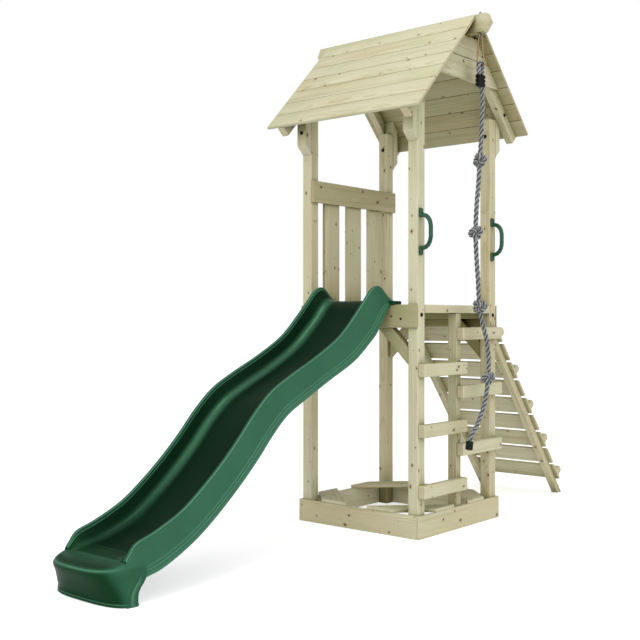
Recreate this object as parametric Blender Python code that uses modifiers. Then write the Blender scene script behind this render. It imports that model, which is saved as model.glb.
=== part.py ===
"""Play tower: a timber tower with a roof, rung ladder, climbing ramp, wave slide and knotted rope.

Metres, +Z up. The origin is on the ground, under the middle of the whole object. +X runs from the
slide's foot through the tower to the climbing ramp, and +Y from the ladder side to the balustrade.
Sizes are first written in the tower's own frame, with x = 0 on the posts' outer face on the slide
side and y = 0 on their outer face on the ladder side. place() moves each piece to the shared frame.
"""

import math

import bmesh
import bpy
from mathutils import Matrix, Vector

# Fit between pieces that touch
GAP = 0.0003
# Sawn timber has its long edges eased by this much
EASED_EDGE = 0.0025

# Tower
LENGTH = 0.772
WIDTH = 0.780
POST = 0.063
RAIL = 0.043
BOARD = 0.014
POST_EDGE = 0.004

# Sandpit round the posts' feet
BASE_HEIGHT = 0.120
SEAT_THICK = 0.018
SEAT_NEAR = 0.152
SEAT_FAR = 0.322

# Platform
DECK_TOP = 1.200
DECK_THICK = 0.016
DECK_BOARDS = 6
DECK_SEAM = 0.004
DECK_INSET = 0.001
DECK_BITE = 0.002
BEAM_BOTTOM = DECK_TOP - 0.120
BEARER_BOTTOM = DECK_TOP - 0.073
RAIL_BOTTOM = DECK_TOP - 0.043
RAIL_DEPTH = 0.0655
BRACE_LOW = BEARER_BOTTOM - 0.301
BRACE_HIGH = BEARER_BOTTOM - 0.210

# Balustrade
GUARD_TOP = DECK_TOP + 0.694
GUARD_BOTTOM = GUARD_TOP - 0.120
GUARD_THICK = 0.018
BALUSTER = 0.130
BALUSTER_SPACE = 0.072
BALUSTER_DROP = 0.012
BALUSTERS = 3

# Rung ladder, with one post in the middle and the rungs stepped left and right
RUNG_HEIGHT = 0.066
RUNG_THICK = 0.043
MID_POST_DEPTH = 0.057
MID_POST_LEFT = (LENGTH - RAIL) / 2
LEFT_RUNG = 0.241
RIGHT_RUNG = 0.425
RUNG_PITCH = 0.3105
RUNGS = 3

# Roof
RIDGE_TOP = 2.738
RIDGE_BOTTOM = RIDGE_TOP - 0.095
RIDGE_THICK = 0.045
RIDGE_TIP = 0.198
RIDGE_TOP_END = 0.177
RIDGE_BOTTOM_END = 0.165
EAVE_OUT = 0.170
EAVE_HEIGHT = RIDGE_TOP - 0.553
GABLE_OUT = 0.116
CLADDING = 0.016
CLADDING_BOARDS = 7
SEAM = 0.003
RAFTER_DEPTH = 0.056
RAFTER_THICK = 0.043
RAFTER_TAIL = 0.160
POST_TOP = EAVE_HEIGHT + 0.071
CLEAT_THICK = 0.045
CLEAT_BOTTOM = EAVE_HEIGHT - 0.147
INFILL_THICK = 0.015
INFILL_TOP = RIDGE_TOP - 0.100
INFILL_BOTTOM = RIDGE_TOP - 0.335

# Climbing ramp: ten slats on two stringers, every other slat with a batten
RAMP_ANGLE = math.radians(50.9)
STRINGER = 0.043
STRINGER_DEPTH = 0.043
STRINGER_TOP = DECK_TOP - 0.010
STRINGER_TUCK = 0.009
RAMP_FOOT = LENGTH + STRINGER_TOP / math.tan(RAMP_ANGLE) - STRINGER_TUCK
RAMP_SIDE = 0.079
SLAT_OVERHANG = 0.022
SLAT = 0.122
SLAT_THICK = 0.014
SLATS = 10
LOWEST_SLAT = 0.146
HIGHEST_SLAT = (STRINGER_TOP - STRINGER_DEPTH * math.cos(RAMP_ANGLE)) / math.sin(RAMP_ANGLE) - 0.056
HOLD_THICK = 0.043
HOLD_WIDTH = 0.043
HOLD_OFF_MIDDLE = 0.012
HOLD_EDGE = 0.007

# Slide: half widths of its section, and the skin's thickness
SLIDE_SKIN = 0.004
FLANGE_HALF = 0.230
FLANGE_EDGE = 0.001
CREASE_HALF = 0.222
RIM_OUTER_HALF = 0.197
RIM_INNER_HALF = 0.183
RIM_ROUND = 0.004
FILLET_HALF = 0.157
FILLET_ROUND = 0.008
FLOOR_HALF = 0.132
FLANGE_BAND = 0.27
SECTION_STEPS = 3
# The heights below were taken with the platform at this height, and follow it
DRAWN_DECK = 1.200
# From the platform down: x and height of the rim, lean of the section in degrees,
# depth of the channel's floor under the rim, and height of the outer wall
SLIDE_SECTIONS = (
    (0.048, 1.2225, 0, 0.0010, 0.0170),
    (0.020, 1.2350, 0, 0.0135, 0.0300),
    (-0.010, 1.2545, 0, 0.0330, 0.0495),
    (-0.050, 1.2870, 8, 0.0690, 0.1085),
    (-0.090, 1.2961, 16, 0.0900, 0.1430),
    (-0.140, 1.2713, 20, 0.1000, 0.1630),
    (-0.200, 1.2130, 26, 0.1000, 0.1690),
    (-0.280, 1.1354, 36, 0.0920, 0.1580),
    (-0.396, 1.0381, 33, 0.0870, 0.1450),
    (-0.567, 0.9466, 25, 0.0850, 0.1300),
    (-0.750, 0.8654, 27, 0.0850, 0.1340),
    (-0.883, 0.7975, 33, 0.0850, 0.1340),
    (-0.995, 0.7057, 42, 0.0850, 0.1340),
    (-1.105, 0.5922, 44, 0.0850, 0.1320),
    (-1.212, 0.4935, 40, 0.0850, 0.1300),
    (-1.330, 0.3999, 36, 0.0850, 0.1300),
    (-1.440, 0.3270, 28, 0.0850, 0.1320),
    (-1.575, 0.2691, 19, 0.0750, 0.1400),
    (-1.670, 0.2380, 10, 0.0550, 0.1400),
    (-1.707, 0.1990, 5, 0.0190, 0.1150),
    (-1.724, 0.1730, 2, 0.0040, 0.0950),
)
# Foot of the slide, from the ground up: height in front and at the back, reach, half width
FOOT_BACK = -1.672
FOOT_GROUND_BACK = -1.690
FOOT_RINGS = (
    (0.000, 0.000, 0.113, 0.2315),
    (0.014, 0.014, 0.117, 0.2355),
    (0.016, 0.016, 0.107, 0.2325),
    (0.072, 0.072, 0.134, 0.2325),
    (0.118, 0.120, 0.160, 0.2310),
    (0.131, 0.139, 0.167, 0.2250),
    (0.143, 0.159, 0.165, 0.2170),
    (0.151, 0.175, 0.152, 0.2090),
    (0.155, 0.184, 0.133, 0.1980),
)
FOOT_SQUARENESS = 3.0
FOOT_POINTS = 30
LIP_BACK = 0.050
LIP_FRONT = -0.030
LIP_HALF = 0.254
LIP_TOP = DECK_TOP + 0.019

# Handles on the posts beside the ladder
HANDLE_MIDDLE = DECK_TOP + 0.372
HANDLE_REACH = 0.066
HANDLE_TUBE = 0.0115
HANDLE_HALF = 0.1205
HANDLE_FOOT = 0.046
HANDLE_FOOT_HALF = 0.014
HANDLE_FOOT_THICK = 0.013
HANDLE_FOOT_EDGE = 0.005
HANDLE_OFF = 0.018
# The grip's bend, from the post outwards: distance from the post and from the middle
HANDLE_BEND = (
    (0.004, 0.083),
    (0.020, 0.084),
    (0.036, 0.080),
    (0.051, 0.068),
    (0.061, 0.051),
    (HANDLE_REACH, 0.028),
)

# Rope and its fittings, in the plane of the eye bolt
BOLT_X = LENGTH / 2
BOLT_Y = -0.134
WIRE = 0.004
SHANK = 0.005
SHANK_OUT = 0.015
EYE_RADIUS = 0.011
NUT_RADIUS = 0.009
NUT_TOP = 0.009
LINK_BEND = 0.009
LINK_HALF = 0.023
LINK_CORNER = 0.006
LINK_BOTTOM = RIDGE_TOP - 0.270
SLEEVE = 0.0055
SLEEVE_LOW = 0.30
SLEEVE_HIGH = 0.52
ROPE = 0.0135
STRAND = 0.0141
CLAMP_TOP = LINK_BOTTOM - 0.048
CLAMP_BOTTOM = CLAMP_TOP - 0.064
CLAMP_HALF_X = 0.0325
CLAMP_HALF_Y = 0.0180
CLAMP_EDGE = 0.006
CLAMP_RIBS = 4
CLAMP_GROOVE = 0.0018
CLAMP_GROOVE_HALF = 0.0022
# Route of the hanging rope, downwards, as x from the bolt and drop below the clamp
ROPE_ROUTE = (
    (0.0130, 0.000),
    (0.0170, 0.056),
    (0.0170, 0.142),
    (0.0060, 0.293),
    (-0.0060, 0.387),
    (-0.0180, 0.506),
    (-0.0320, 0.593),
    (-0.0430, 0.686),
    (-0.0480, 0.779),
    (-0.0390, 0.906),
    (-0.0240, 1.025),
    (-0.0100, 1.163),
    (0.0200, 1.246),
    (0.0570, 1.327),
    (0.0790, 1.396),
    (0.0860, 1.476),
    (0.0770, 1.550),
    (0.0670, 1.610),
    (0.0430, 1.680),
    (0.0040, 1.744),
    (-0.0460, 1.804),
    (-0.0850, 1.834),
    (-0.1040, 1.863),
    (-0.1130, 1.909),
)
KNOT_DROPS = (0.387, 0.779, 1.163, 1.550)
KNOT_HALF = (0.037, 0.034, 0.038)
CAP_RADIUS = 0.0195
CAP_LENGTH = 0.046
CAP_FLOOR = 0.006
CAP_EDGE = 0.005

# The object's middle in x lies between the slide's nose and the ramp's foot
SLIDE_NOSE = FOOT_BACK - max(reach for low, high, reach, half in FOOT_RINGS)
RAMP_TOE = RAMP_FOOT + STRINGER_DEPTH / math.sin(RAMP_ANGLE)
SHIFT = Vector((-(SLIDE_NOSE + RAMP_TOE) / 2, -WIDTH / 2, 0.0))

# Roof slope, from the eave's outer edge to the ridge beam's top edge
RIDGE_SIDE = BOLT_X - RIDGE_THICK / 2
ROOF_RISE = (RIDGE_TOP - EAVE_HEIGHT) / (RIDGE_SIDE + EAVE_OUT)
ROOF_ANGLE = math.atan(ROOF_RISE)
CLADDING_DROP = CLADDING / math.cos(ROOF_ANGLE)
RAFTER_DROP = RAFTER_DEPTH / math.cos(ROOF_ANGLE)


def clear_scene():
    for obj in list(bpy.data.objects):
        bpy.data.objects.remove(obj)


def make_collection(name, hidden):
    collection = bpy.data.collections.new(name)
    bpy.context.scene.collection.children.link(collection)
    collection.hide_render = hidden
    return collection


clear_scene()
PIECES = make_collection("play_tower", False)
CUTTERS = make_collection("cutters", True)


def make_material(name, colour, roughness, metallic=0.0):
    material = bpy.data.materials.new(name)
    material.use_nodes = True
    shader = material.node_tree.nodes["Principled BSDF"]
    shader.inputs["Base Color"].default_value = (*colour, 1.0)
    shader.inputs["Roughness"].default_value = roughness
    shader.inputs["Metallic"].default_value = metallic
    return material


def pine():
    return make_material("pine", (0.62, 0.57, 0.38), 0.6)


def green_plastic():
    return make_material("green_plastic", (0.03, 0.17, 0.09), 0.35)


def grip_plastic():
    return make_material("grip_plastic", (0.02, 0.13, 0.07), 0.3)


def black_plastic():
    return make_material("black_plastic", (0.02, 0.02, 0.02), 0.45)


def brass():
    return make_material("brass", (0.60, 0.38, 0.20), 0.3, 1.0)


def zinc():
    return make_material("zinc", (0.45, 0.46, 0.45), 0.4, 1.0)


def rope_fibre():
    return make_material("rope_fibre", (0.20, 0.24, 0.25), 0.85)


PINE = pine()
GREEN = green_plastic()
GRIP = grip_plastic()
BLACK = black_plastic()
BRASS = brass()
ZINC = zinc()
FIBRE = rope_fibre()


def place(obj, material, collection=None):
    """Puts a piece into its collection and into the shared frame."""
    for other in list(obj.users_collection):
        other.objects.unlink(obj)
    (collection or PIECES).objects.link(obj)
    obj.location = obj.location + SHIFT
    if material:
        obj.data.materials.append(material)
    else:
        obj.hide_render = True
        obj.display_type = "WIRE"
    return obj


def ease_edges(obj, width):
    bevel = obj.modifiers.new("eased_edges", "BEVEL")
    bevel.width = width
    bevel.segments = 1
    bevel.limit_method = "ANGLE"
    bevel.angle_limit = math.radians(30)


def smooth_round(obj, angle=35):
    obj.data.shade_smooth()
    obj.data.set_sharp_from_angle(angle=math.radians(angle))


def mesh_object(name, mesh):
    obj = bpy.data.objects.new(name, mesh)
    bpy.context.scene.collection.objects.link(obj)
    return obj


def tidy_mesh(mesh):
    """Welds a mesh's seams and turns its faces outward."""
    work = bmesh.new()
    work.from_mesh(mesh)
    bmesh.ops.remove_doubles(work, verts=work.verts, dist=1e-5)
    bmesh.ops.recalc_face_normals(work, faces=work.faces)
    work.to_mesh(mesh)
    work.free()


def box_mesh(name, low, high):
    size = Vector(high) - Vector(low)
    middle = (Vector(high) + Vector(low)) / 2
    work = bmesh.new()
    bmesh.ops.create_cube(work, size=1.0)
    bmesh.ops.scale(work, verts=work.verts, vec=size)
    bmesh.ops.translate(work, verts=work.verts, vec=middle)
    mesh = bpy.data.meshes.new(name)
    work.to_mesh(mesh)
    work.free()
    return mesh


def timber(name, low, high, edge=EASED_EDGE):
    """A straight length of timber between two opposite corners."""
    obj = mesh_object(name, box_mesh(name, low, high))
    if edge:
        ease_edges(obj, edge)
    return place(obj, PINE)


def cutter_box(name, low, high):
    return place(mesh_object(name, box_mesh(name, low, high)), None, CUTTERS)


def outline_mesh(name, outline, normal, low, high):
    """A flat piece with this outline. In x and z when normal is Y, y and z for X, x and y for Z."""
    curve = bpy.data.curves.new(name, "CURVE")
    curve.dimensions = "2D"
    curve.fill_mode = "BOTH"
    curve.extrude = (high - low) / 2
    spline = curve.splines.new("POLY")
    spline.points.add(len(outline) - 1)
    for point, (along, across) in zip(spline.points, outline):
        point.co = (along, across, 0.0, 1.0)
    spline.use_cyclic_u = True
    middle = (high + low) / 2
    columns = {
        "Y": ((1, 0, 0), (0, 0, 1), (0, 1, 0)),
        "X": ((0, 1, 0), (0, 0, 1), (1, 0, 0)),
        "Z": ((1, 0, 0), (0, 1, 0), (0, 0, 1)),
    }[normal]
    turn = Matrix(columns).transposed().to_4x4()
    turn.translation = Vector(columns[2]) * middle
    holder = mesh_object(name + "_outline", curve)
    bpy.context.view_layer.update()
    graph = bpy.context.evaluated_depsgraph_get()
    mesh = bpy.data.meshes.new_from_object(holder.evaluated_get(graph))
    mesh.transform(turn)
    bpy.data.objects.remove(holder)
    mesh.name = name
    mesh.materials.clear()
    tidy_mesh(mesh)
    return mesh


def plate(name, outline, normal, low, high, edge=EASED_EDGE):
    obj = mesh_object(name, outline_mesh(name, outline, normal, low, high))
    if edge:
        ease_edges(obj, edge)
    return place(obj, PINE)


def cut_with(obj, cutter, operation="DIFFERENCE"):
    boolean = obj.modifiers.new(cutter.name, "BOOLEAN")
    boolean.operation = operation
    boolean.solver = "EXACT"
    boolean.object = cutter


def tube_mesh(name, points, radius, detail=2, cyclic=False):
    """A round tube through these points."""
    curve = bpy.data.curves.new(name, "CURVE")
    curve.dimensions = "3D"
    curve.bevel_depth = radius
    curve.bevel_resolution = detail
    curve.use_fill_caps = True
    spline = curve.splines.new("POLY")
    spline.points.add(len(points) - 1)
    for point, place_at in zip(spline.points, points):
        point.co = (*place_at, 1.0)
    spline.use_cyclic_u = cyclic
    holder = mesh_object(name + "_line", curve)
    bpy.context.view_layer.update()
    graph = bpy.context.evaluated_depsgraph_get()
    mesh = bpy.data.meshes.new_from_object(holder.evaluated_get(graph))
    bpy.data.objects.remove(holder)
    mesh.name = name
    mesh.materials.clear()
    tidy_mesh(mesh)
    return mesh


def rod_mesh(name, bottom, top, radius, sides=20):
    """An upright round rod between two points."""
    axis = Vector(top) - Vector(bottom)
    work = bmesh.new()
    bmesh.ops.create_cone(
        work, cap_ends=True, segments=sides, radius1=radius, radius2=radius, depth=axis.length
    )
    turn = Vector((0, 0, 1)).rotation_difference(axis).to_matrix()
    bmesh.ops.rotate(work, verts=work.verts, matrix=turn)
    bmesh.ops.translate(work, verts=work.verts, vec=(Vector(top) + Vector(bottom)) / 2)
    mesh = bpy.data.meshes.new(name)
    work.to_mesh(mesh)
    work.free()
    return mesh


def far_x(x):
    return LENGTH - x


def far_y(y):
    return WIDTH - y


def span(one, other):
    return min(one, other), max(one, other)


def smooth_line(points, steps):
    """More points on a smooth curve through these ones."""
    line = [Vector(point) for point in points]
    ends = [line[0] * 2 - line[1]] + line + [line[-1] * 2 - line[-2]]
    found = []
    for index in range(1, len(ends) - 2):
        before, start, end, after = ends[index - 1 : index + 3]
        for step in range(steps):
            t = step / steps
            found.append(
                0.5
                * (
                    2 * start
                    + (end - before) * t
                    + (2 * before - 5 * start + 4 * end - after) * t**2
                    + (3 * start - before - 3 * end + after) * t**3
                )
            )
    found.append(line[-1])
    return found


def make_posts():
    for name, x, y in (
        ("post_ladder_slide", 0.0, 0.0),
        ("post_guard_slide", 0.0, WIDTH - POST),
        ("post_ladder_ramp", LENGTH - POST, 0.0),
        ("post_guard_ramp", LENGTH - POST, WIDTH - POST),
    ):
        timber(name, (x, y, 0.0), (x + POST, y + POST, POST_TOP), POST_EDGE)
    timber(
        "ladder_mid_post",
        (MID_POST_LEFT, 0.0, 0.0),
        (MID_POST_LEFT + RAIL, MID_POST_DEPTH, RAIL_BOTTOM - GAP),
        POST_EDGE,
    )


def make_base():
    for name, y in (("base_board_ladder", -BOARD - GAP), ("base_board_guard", WIDTH + GAP)):
        timber(name, (-BOARD - GAP, y, 0.0), (LENGTH + BOARD + GAP, y + BOARD, BASE_HEIGHT))
    for name, x in (("base_board_slide", -BOARD - GAP), ("base_board_ramp", LENGTH + GAP)):
        timber(name, (x, 0.0, 0.0), (x + BOARD, WIDTH, BASE_HEIGHT))


def make_corner_seats():
    """Boards laid across the sandpit's corners, cut flush with the base boards."""
    outer = -BOARD - GAP
    corner = (
        (SEAT_NEAR, outer),
        (SEAT_FAR, outer),
        (outer, SEAT_FAR),
        (outer, SEAT_NEAR),
    )
    bottom = BASE_HEIGHT + GAP
    for name, turn_x, turn_y in (
        ("seat_ladder_slide", False, False),
        ("seat_guard_slide", False, True),
        ("seat_ladder_ramp", True, False),
        ("seat_guard_ramp", True, True),
    ):
        outline = [(far_x(x) if turn_x else x, far_y(y) if turn_y else y) for x, y in corner]
        plate(name, outline, "Z", bottom, bottom + SEAT_THICK)


def make_side_beams():
    for name, x in (("side_beam_slide", -BOARD - GAP), ("side_beam_ramp", LENGTH + GAP)):
        timber(name, (x, 0.0, BEAM_BOTTOM), (x + BOARD, WIDTH, DECK_TOP))


def make_deck():
    """Deck boards fixed to two bearers and to the rails between the posts."""
    first = POST + GAP
    pitch = (WIDTH - 2 * first + DECK_SEAM) / DECK_BOARDS
    board_bottom = DECK_TOP - DECK_THICK
    pieces = []
    for index in range(DECK_BOARDS):
        y = first + index * pitch
        pieces.append(((0.0, y, board_bottom), (LENGTH, y + pitch - DECK_SEAM, DECK_TOP)))
    for low, high in ((DECK_INSET, RAIL), (LENGTH - RAIL, LENGTH - DECK_INSET)):
        pieces.append(
            (
                (low, first + DECK_INSET, BEARER_BOTTOM),
                (high, WIDTH - first - DECK_INSET, board_bottom + DECK_BITE),
            )
        )
    for y in (0.0, WIDTH - RAIL_DEPTH):
        pieces.append(
            (
                (POST + GAP, y, RAIL_BOTTOM),
                (LENGTH - POST - GAP, y + RAIL_DEPTH, DECK_TOP - DECK_INSET),
            )
        )
    deck = mesh_object("deck", box_mesh("deck", *pieces[0]))
    for index, (low, high) in enumerate(pieces[1:]):
        cut_with(deck, cutter_box(f"deck_piece_{index}", low, high), "UNION")
    place(deck, PINE)


def make_braces():
    """Knee braces at 45 degrees, between the posts and the bearers."""
    start = POST + GAP
    top = BEARER_BOTTOM - GAP
    brace = (
        (start, start + BRACE_LOW),
        (start, start + BRACE_HIGH),
        (top - BRACE_HIGH, top),
        (top - BRACE_LOW, top),
    )
    for name, x, turned in (
        ("brace_ladder_slide", 0.0, False),
        ("brace_guard_slide", 0.0, True),
        ("brace_ladder_ramp", LENGTH - RAIL, False),
        ("brace_guard_ramp", LENGTH - RAIL, True),
    ):
        outline = [(far_y(y) if turned else y, z) for y, z in brace]
        plate(name, outline, "X", x, x + RAIL)


def make_balustrade():
    """A guard rail with three boards nailed to its outer side."""
    face = WIDTH - POST - GAP
    rail = mesh_object(
        "balustrade",
        box_mesh("balustrade", (0.0, face - GUARD_THICK, GUARD_BOTTOM), (LENGTH, face, GUARD_TOP)),
    )
    pitch = BALUSTER + BALUSTER_SPACE
    for index in range(BALUSTERS):
        x = (LENGTH - BALUSTER) / 2 + (index - (BALUSTERS - 1) / 2) * pitch
        board = cutter_box(
            f"baluster_{index}",
            (x, face - 0.001, DECK_TOP + GAP),
            (x + BALUSTER, face + GUARD_THICK, GUARD_TOP - BALUSTER_DROP),
        )
        cut_with(rail, board, "UNION")
    place(rail, PINE)


def make_rungs():
    for side, low_x, high_x, lowest in (
        ("left", 0.0, MID_POST_LEFT + RAIL, LEFT_RUNG),
        ("right", MID_POST_LEFT, LENGTH, RIGHT_RUNG),
    ):
        for index in range(RUNGS):
            z = lowest + index * RUNG_PITCH
            timber(
                f"rung_{side}_{index + 1}",
                (low_x, -RUNG_THICK - GAP, z - RUNG_HEIGHT / 2),
                (high_x, -GAP, z + RUNG_HEIGHT / 2),
                POST_EDGE,
            )


def roof_top(x):
    """Height of the cladding's outer face over x, on the slide side's slope."""
    return EAVE_HEIGHT + (x + EAVE_OUT) * ROOF_RISE


def roof_under(x):
    return roof_top(x) - CLADDING_DROP


def make_cladding():
    """Seven boards a slope, joined into one piece, with a V seam between each two."""
    top_x = RIDGE_SIDE - GAP
    along = Vector((math.cos(ROOF_ANGLE), math.sin(ROOF_ANGLE)))
    inward = Vector((math.sin(ROOF_ANGLE), -math.cos(ROOF_ANGLE)))
    eave = Vector((-EAVE_OUT, EAVE_HEIGHT))
    length = (top_x + EAVE_OUT) / math.cos(ROOF_ANGLE)
    board = length / CLADDING_BOARDS
    upper = [eave]
    lower = [eave + inward * CLADDING]
    for index in range(1, CLADDING_BOARDS):
        seam = eave + along * (index * board)
        upper += [seam - along * SEAM, seam + inward * SEAM, seam + along * SEAM]
        under = seam + inward * CLADDING
        lower += [under - along * SEAM, under - inward * SEAM, under + along * SEAM]
    upper.append(Vector((top_x, roof_top(top_x))))
    lower.append(Vector((top_x, roof_under(top_x))))
    outline = upper + lower[::-1]
    low, high = -GABLE_OUT, WIDTH + GABLE_OUT
    plate("cladding_slide", outline, "Y", low, high, 0.0)
    mirrored = [(far_x(x), z) for x, z in outline]
    plate("cladding_ramp", mirrored, "Y", low, high, 0.0)


def make_ridge_beam():
    middle = (RIDGE_TOP + RIDGE_BOTTOM) / 2
    near = [(-RIDGE_TOP_END, RIDGE_TOP), (-RIDGE_TIP, middle), (-RIDGE_BOTTOM_END, RIDGE_BOTTOM)]
    far = [(far_y(y), z) for y, z in near]
    mesh = outline_mesh(
        "ridge_beam", near + far[::-1], "X", BOLT_X - RIDGE_THICK / 2, BOLT_X + RIDGE_THICK / 2
    )
    beam = place(mesh_object("ridge_beam", mesh), PINE)
    bore = mesh_object(
        "bolt_bore",
        rod_mesh(
            "bolt_bore",
            (BOLT_X, BOLT_Y, RIDGE_BOTTOM - 0.02),
            (BOLT_X, BOLT_Y, RIDGE_TOP + 0.02),
            SHANK + GAP,
        ),
    )
    cut_with(beam, place(bore, None, CUTTERS))


def make_rafters():
    """Rafters outside the posts, under the cladding, with their tails cut square."""
    top_x = RIDGE_SIDE - GAP
    depth = Vector((math.sin(ROOF_ANGLE), -math.cos(ROOF_ANGLE))) * RAFTER_DEPTH
    clearance = GAP / math.cos(ROOF_ANGLE)
    tail = Vector((-RAFTER_TAIL, roof_under(-RAFTER_TAIL) - clearance))
    outline = [
        tail,
        Vector((top_x, roof_under(top_x) - clearance)),
        Vector((top_x, roof_under(top_x) - clearance - RAFTER_DROP)),
        tail + depth,
    ]
    for side, y in (("ladder", -RAFTER_THICK - GAP), ("guard", WIDTH + GAP)):
        plate(f"rafter_{side}_slide", outline, "Y", y, y + RAFTER_THICK)
        mirrored = [(far_x(x), z) for x, z in outline]
        plate(f"rafter_{side}_ramp", mirrored, "Y", y, y + RAFTER_THICK)


def make_cleats():
    """Cleats on the posts' outer faces that the rafters are bolted to."""
    inner, outer = -GAP, -GAP - CLEAT_THICK
    clearance = GAP / math.cos(ROOF_ANGLE)
    outline = [
        (inner, CLEAT_BOTTOM),
        (outer, CLEAT_BOTTOM + CLEAT_THICK),
        (outer, roof_under(outer) - clearance),
        (inner, roof_under(inner) - clearance),
    ]
    for side, y in (("ladder", 0.0), ("guard", WIDTH - POST)):
        plate(f"cleat_{side}_slide", outline, "Y", y, y + POST)
        mirrored = [(far_x(x), z) for x, z in outline]
        plate(f"cleat_{side}_ramp", mirrored, "Y", y, y + POST)


def make_infills():
    """Boards that close the gables, trimmed to the slope."""

    def edge(z):
        return (z + CLADDING_DROP - EAVE_HEIGHT) / ROOF_RISE - EAVE_OUT + 2 * GAP

    middle = (INFILL_TOP + INFILL_BOTTOM) / 2
    groove = SEAM
    left = [
        (edge(INFILL_BOTTOM), INFILL_BOTTOM),
        (edge(middle - groove), middle - groove),
        (edge(middle) + groove, middle),
        (edge(middle + groove), middle + groove),
        (edge(INFILL_TOP), INFILL_TOP),
    ]
    outline = left + [(far_x(x), z) for x, z in left[::-1]]
    for side, y in (
        ("ladder", -RAFTER_THICK - 2 * GAP - INFILL_THICK),
        ("guard", WIDTH + RAFTER_THICK + 2 * GAP),
    ):
        plate(f"gable_infill_{side}", outline, "Y", y, y + INFILL_THICK, 0.0)


def ramp_point(along, out):
    """A point on the ramp: along the slope from the ground, and out from the stringers' underside."""
    x = RAMP_FOOT - along * math.cos(RAMP_ANGLE) + out * math.sin(RAMP_ANGLE)
    z = along * math.sin(RAMP_ANGLE) + out * math.cos(RAMP_ANGLE)
    return x, z


def make_stringers():
    slope = 1 / math.tan(RAMP_ANGLE)
    wall = LENGTH + BOARD + 2 * GAP
    outer_foot = RAMP_TOE
    outline = [
        (RAMP_FOOT, 0.0),
        (outer_foot, 0.0),
        (outer_foot - STRINGER_TOP * slope, STRINGER_TOP),
        (wall, STRINGER_TOP),
        (wall, (RAMP_FOOT - wall) / slope),
    ]
    near = RAMP_SIDE + SLAT_OVERHANG
    for name, y in (("stringer_ladder", near), ("stringer_guard", WIDTH - near - STRINGER)):
        plate(name, outline, "Y", y, y + STRINGER)


def slat_outline(low, high):
    inner = STRINGER_DEPTH + GAP
    outer = inner + SLAT_THICK
    return [
        ramp_point(low, inner),
        ramp_point(low, outer),
        ramp_point(high, outer),
        ramp_point(high, inner),
    ]


def hold_outline(middle):
    """The end of a batten, with its two outer edges rounded off."""
    base = STRINGER_DEPTH + GAP + SLAT_THICK
    low = middle - HOLD_OFF_MIDDLE - HOLD_WIDTH / 2
    high = low + HOLD_WIDTH
    outer = base + HOLD_THICK
    return [
        ramp_point(low, base - 0.002),
        ramp_point(low, outer - HOLD_EDGE),
        ramp_point(low + HOLD_EDGE, outer),
        ramp_point(high - HOLD_EDGE, outer),
        ramp_point(high, outer - HOLD_EDGE),
        ramp_point(high, base - 0.002),
    ]


def make_slats():
    """Slats on the stringers' upper side, counted downwards, every other one with a batten."""
    pitch = (HIGHEST_SLAT - LOWEST_SLAT) / (SLATS - 1)
    near, far = RAMP_SIDE, WIDTH - RAMP_SIDE
    for index in range(SLATS):
        middle = HIGHEST_SLAT - index * pitch
        name = f"ramp_slat_{index + 1}"
        outline = slat_outline(middle - SLAT / 2, middle + SLAT / 2)
        slat = mesh_object(name, outline_mesh(name, outline, "Y", near, far))
        ease_edges(slat, EASED_EDGE)
        place(slat, PINE)
        if index % 2 == 0:
            continue
        batten = outline_mesh(name + "_batten", hold_outline(middle), "Y", near, far)
        holder = place(mesh_object(name + "_batten", batten), None, CUTTERS)
        cut_with(slat, holder, "UNION")


def slide_section(rim_x, rim_z, lean, depth, height):
    """One section across the slide's skin, as (half width, x, z) from the flange to the middle."""
    down = Vector((math.sin(lean), -math.cos(lean)))
    rim = Vector((rim_x, rim_z))
    wall = height * (1 - FLANGE_BAND)
    steps = [
        (FLANGE_HALF, height),
        (FLANGE_HALF - FLANGE_EDGE, wall + 0.10 * height),
        (CREASE_HALF, wall),
        (RIM_OUTER_HALF + RIM_ROUND, 0.06 * height),
        (RIM_OUTER_HALF, 0.0),
        (RIM_INNER_HALF, 0.0),
        (RIM_INNER_HALF - RIM_ROUND, 0.09 * depth),
        (FILLET_HALF + FILLET_ROUND, 0.68 * depth),
        (FILLET_HALF - FILLET_ROUND / 2, 0.90 * depth),
        (FLOOR_HALF, depth),
        (FLOOR_HALF / 2, depth),
    ]
    return [(half, *(rim + down * drop)) for half, drop in steps]


def slide_channel_mesh():
    """The skin of the channel, open below, lofted through its sections."""
    stations = [
        Vector((x, z * DECK_TOP / DRAWN_DECK, math.radians(lean), depth, height))
        for x, z, lean, depth, height in SLIDE_SECTIONS
    ]
    rows = []
    for station in smooth_line(stations, SECTION_STEPS):
        half = slide_section(*station)
        middle = (0.0, half[-1][1], half[-1][2])
        row = [(-side, x, z) for side, x, z in half] + [middle] + half[::-1]
        rows.append([(x, WIDTH / 2 + side, z) for side, x, z in row])
    work = bmesh.new()
    grid = [[work.verts.new(point) for point in row] for row in rows]
    for row, below in zip(grid, grid[1:]):
        for index in range(len(row) - 1):
            work.faces.new((row[index], row[index + 1], below[index + 1], below[index]))
    bmesh.ops.recalc_face_normals(work, faces=work.faces)
    mesh = bpy.data.meshes.new("slide")
    work.to_mesh(mesh)
    work.free()
    return mesh


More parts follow.
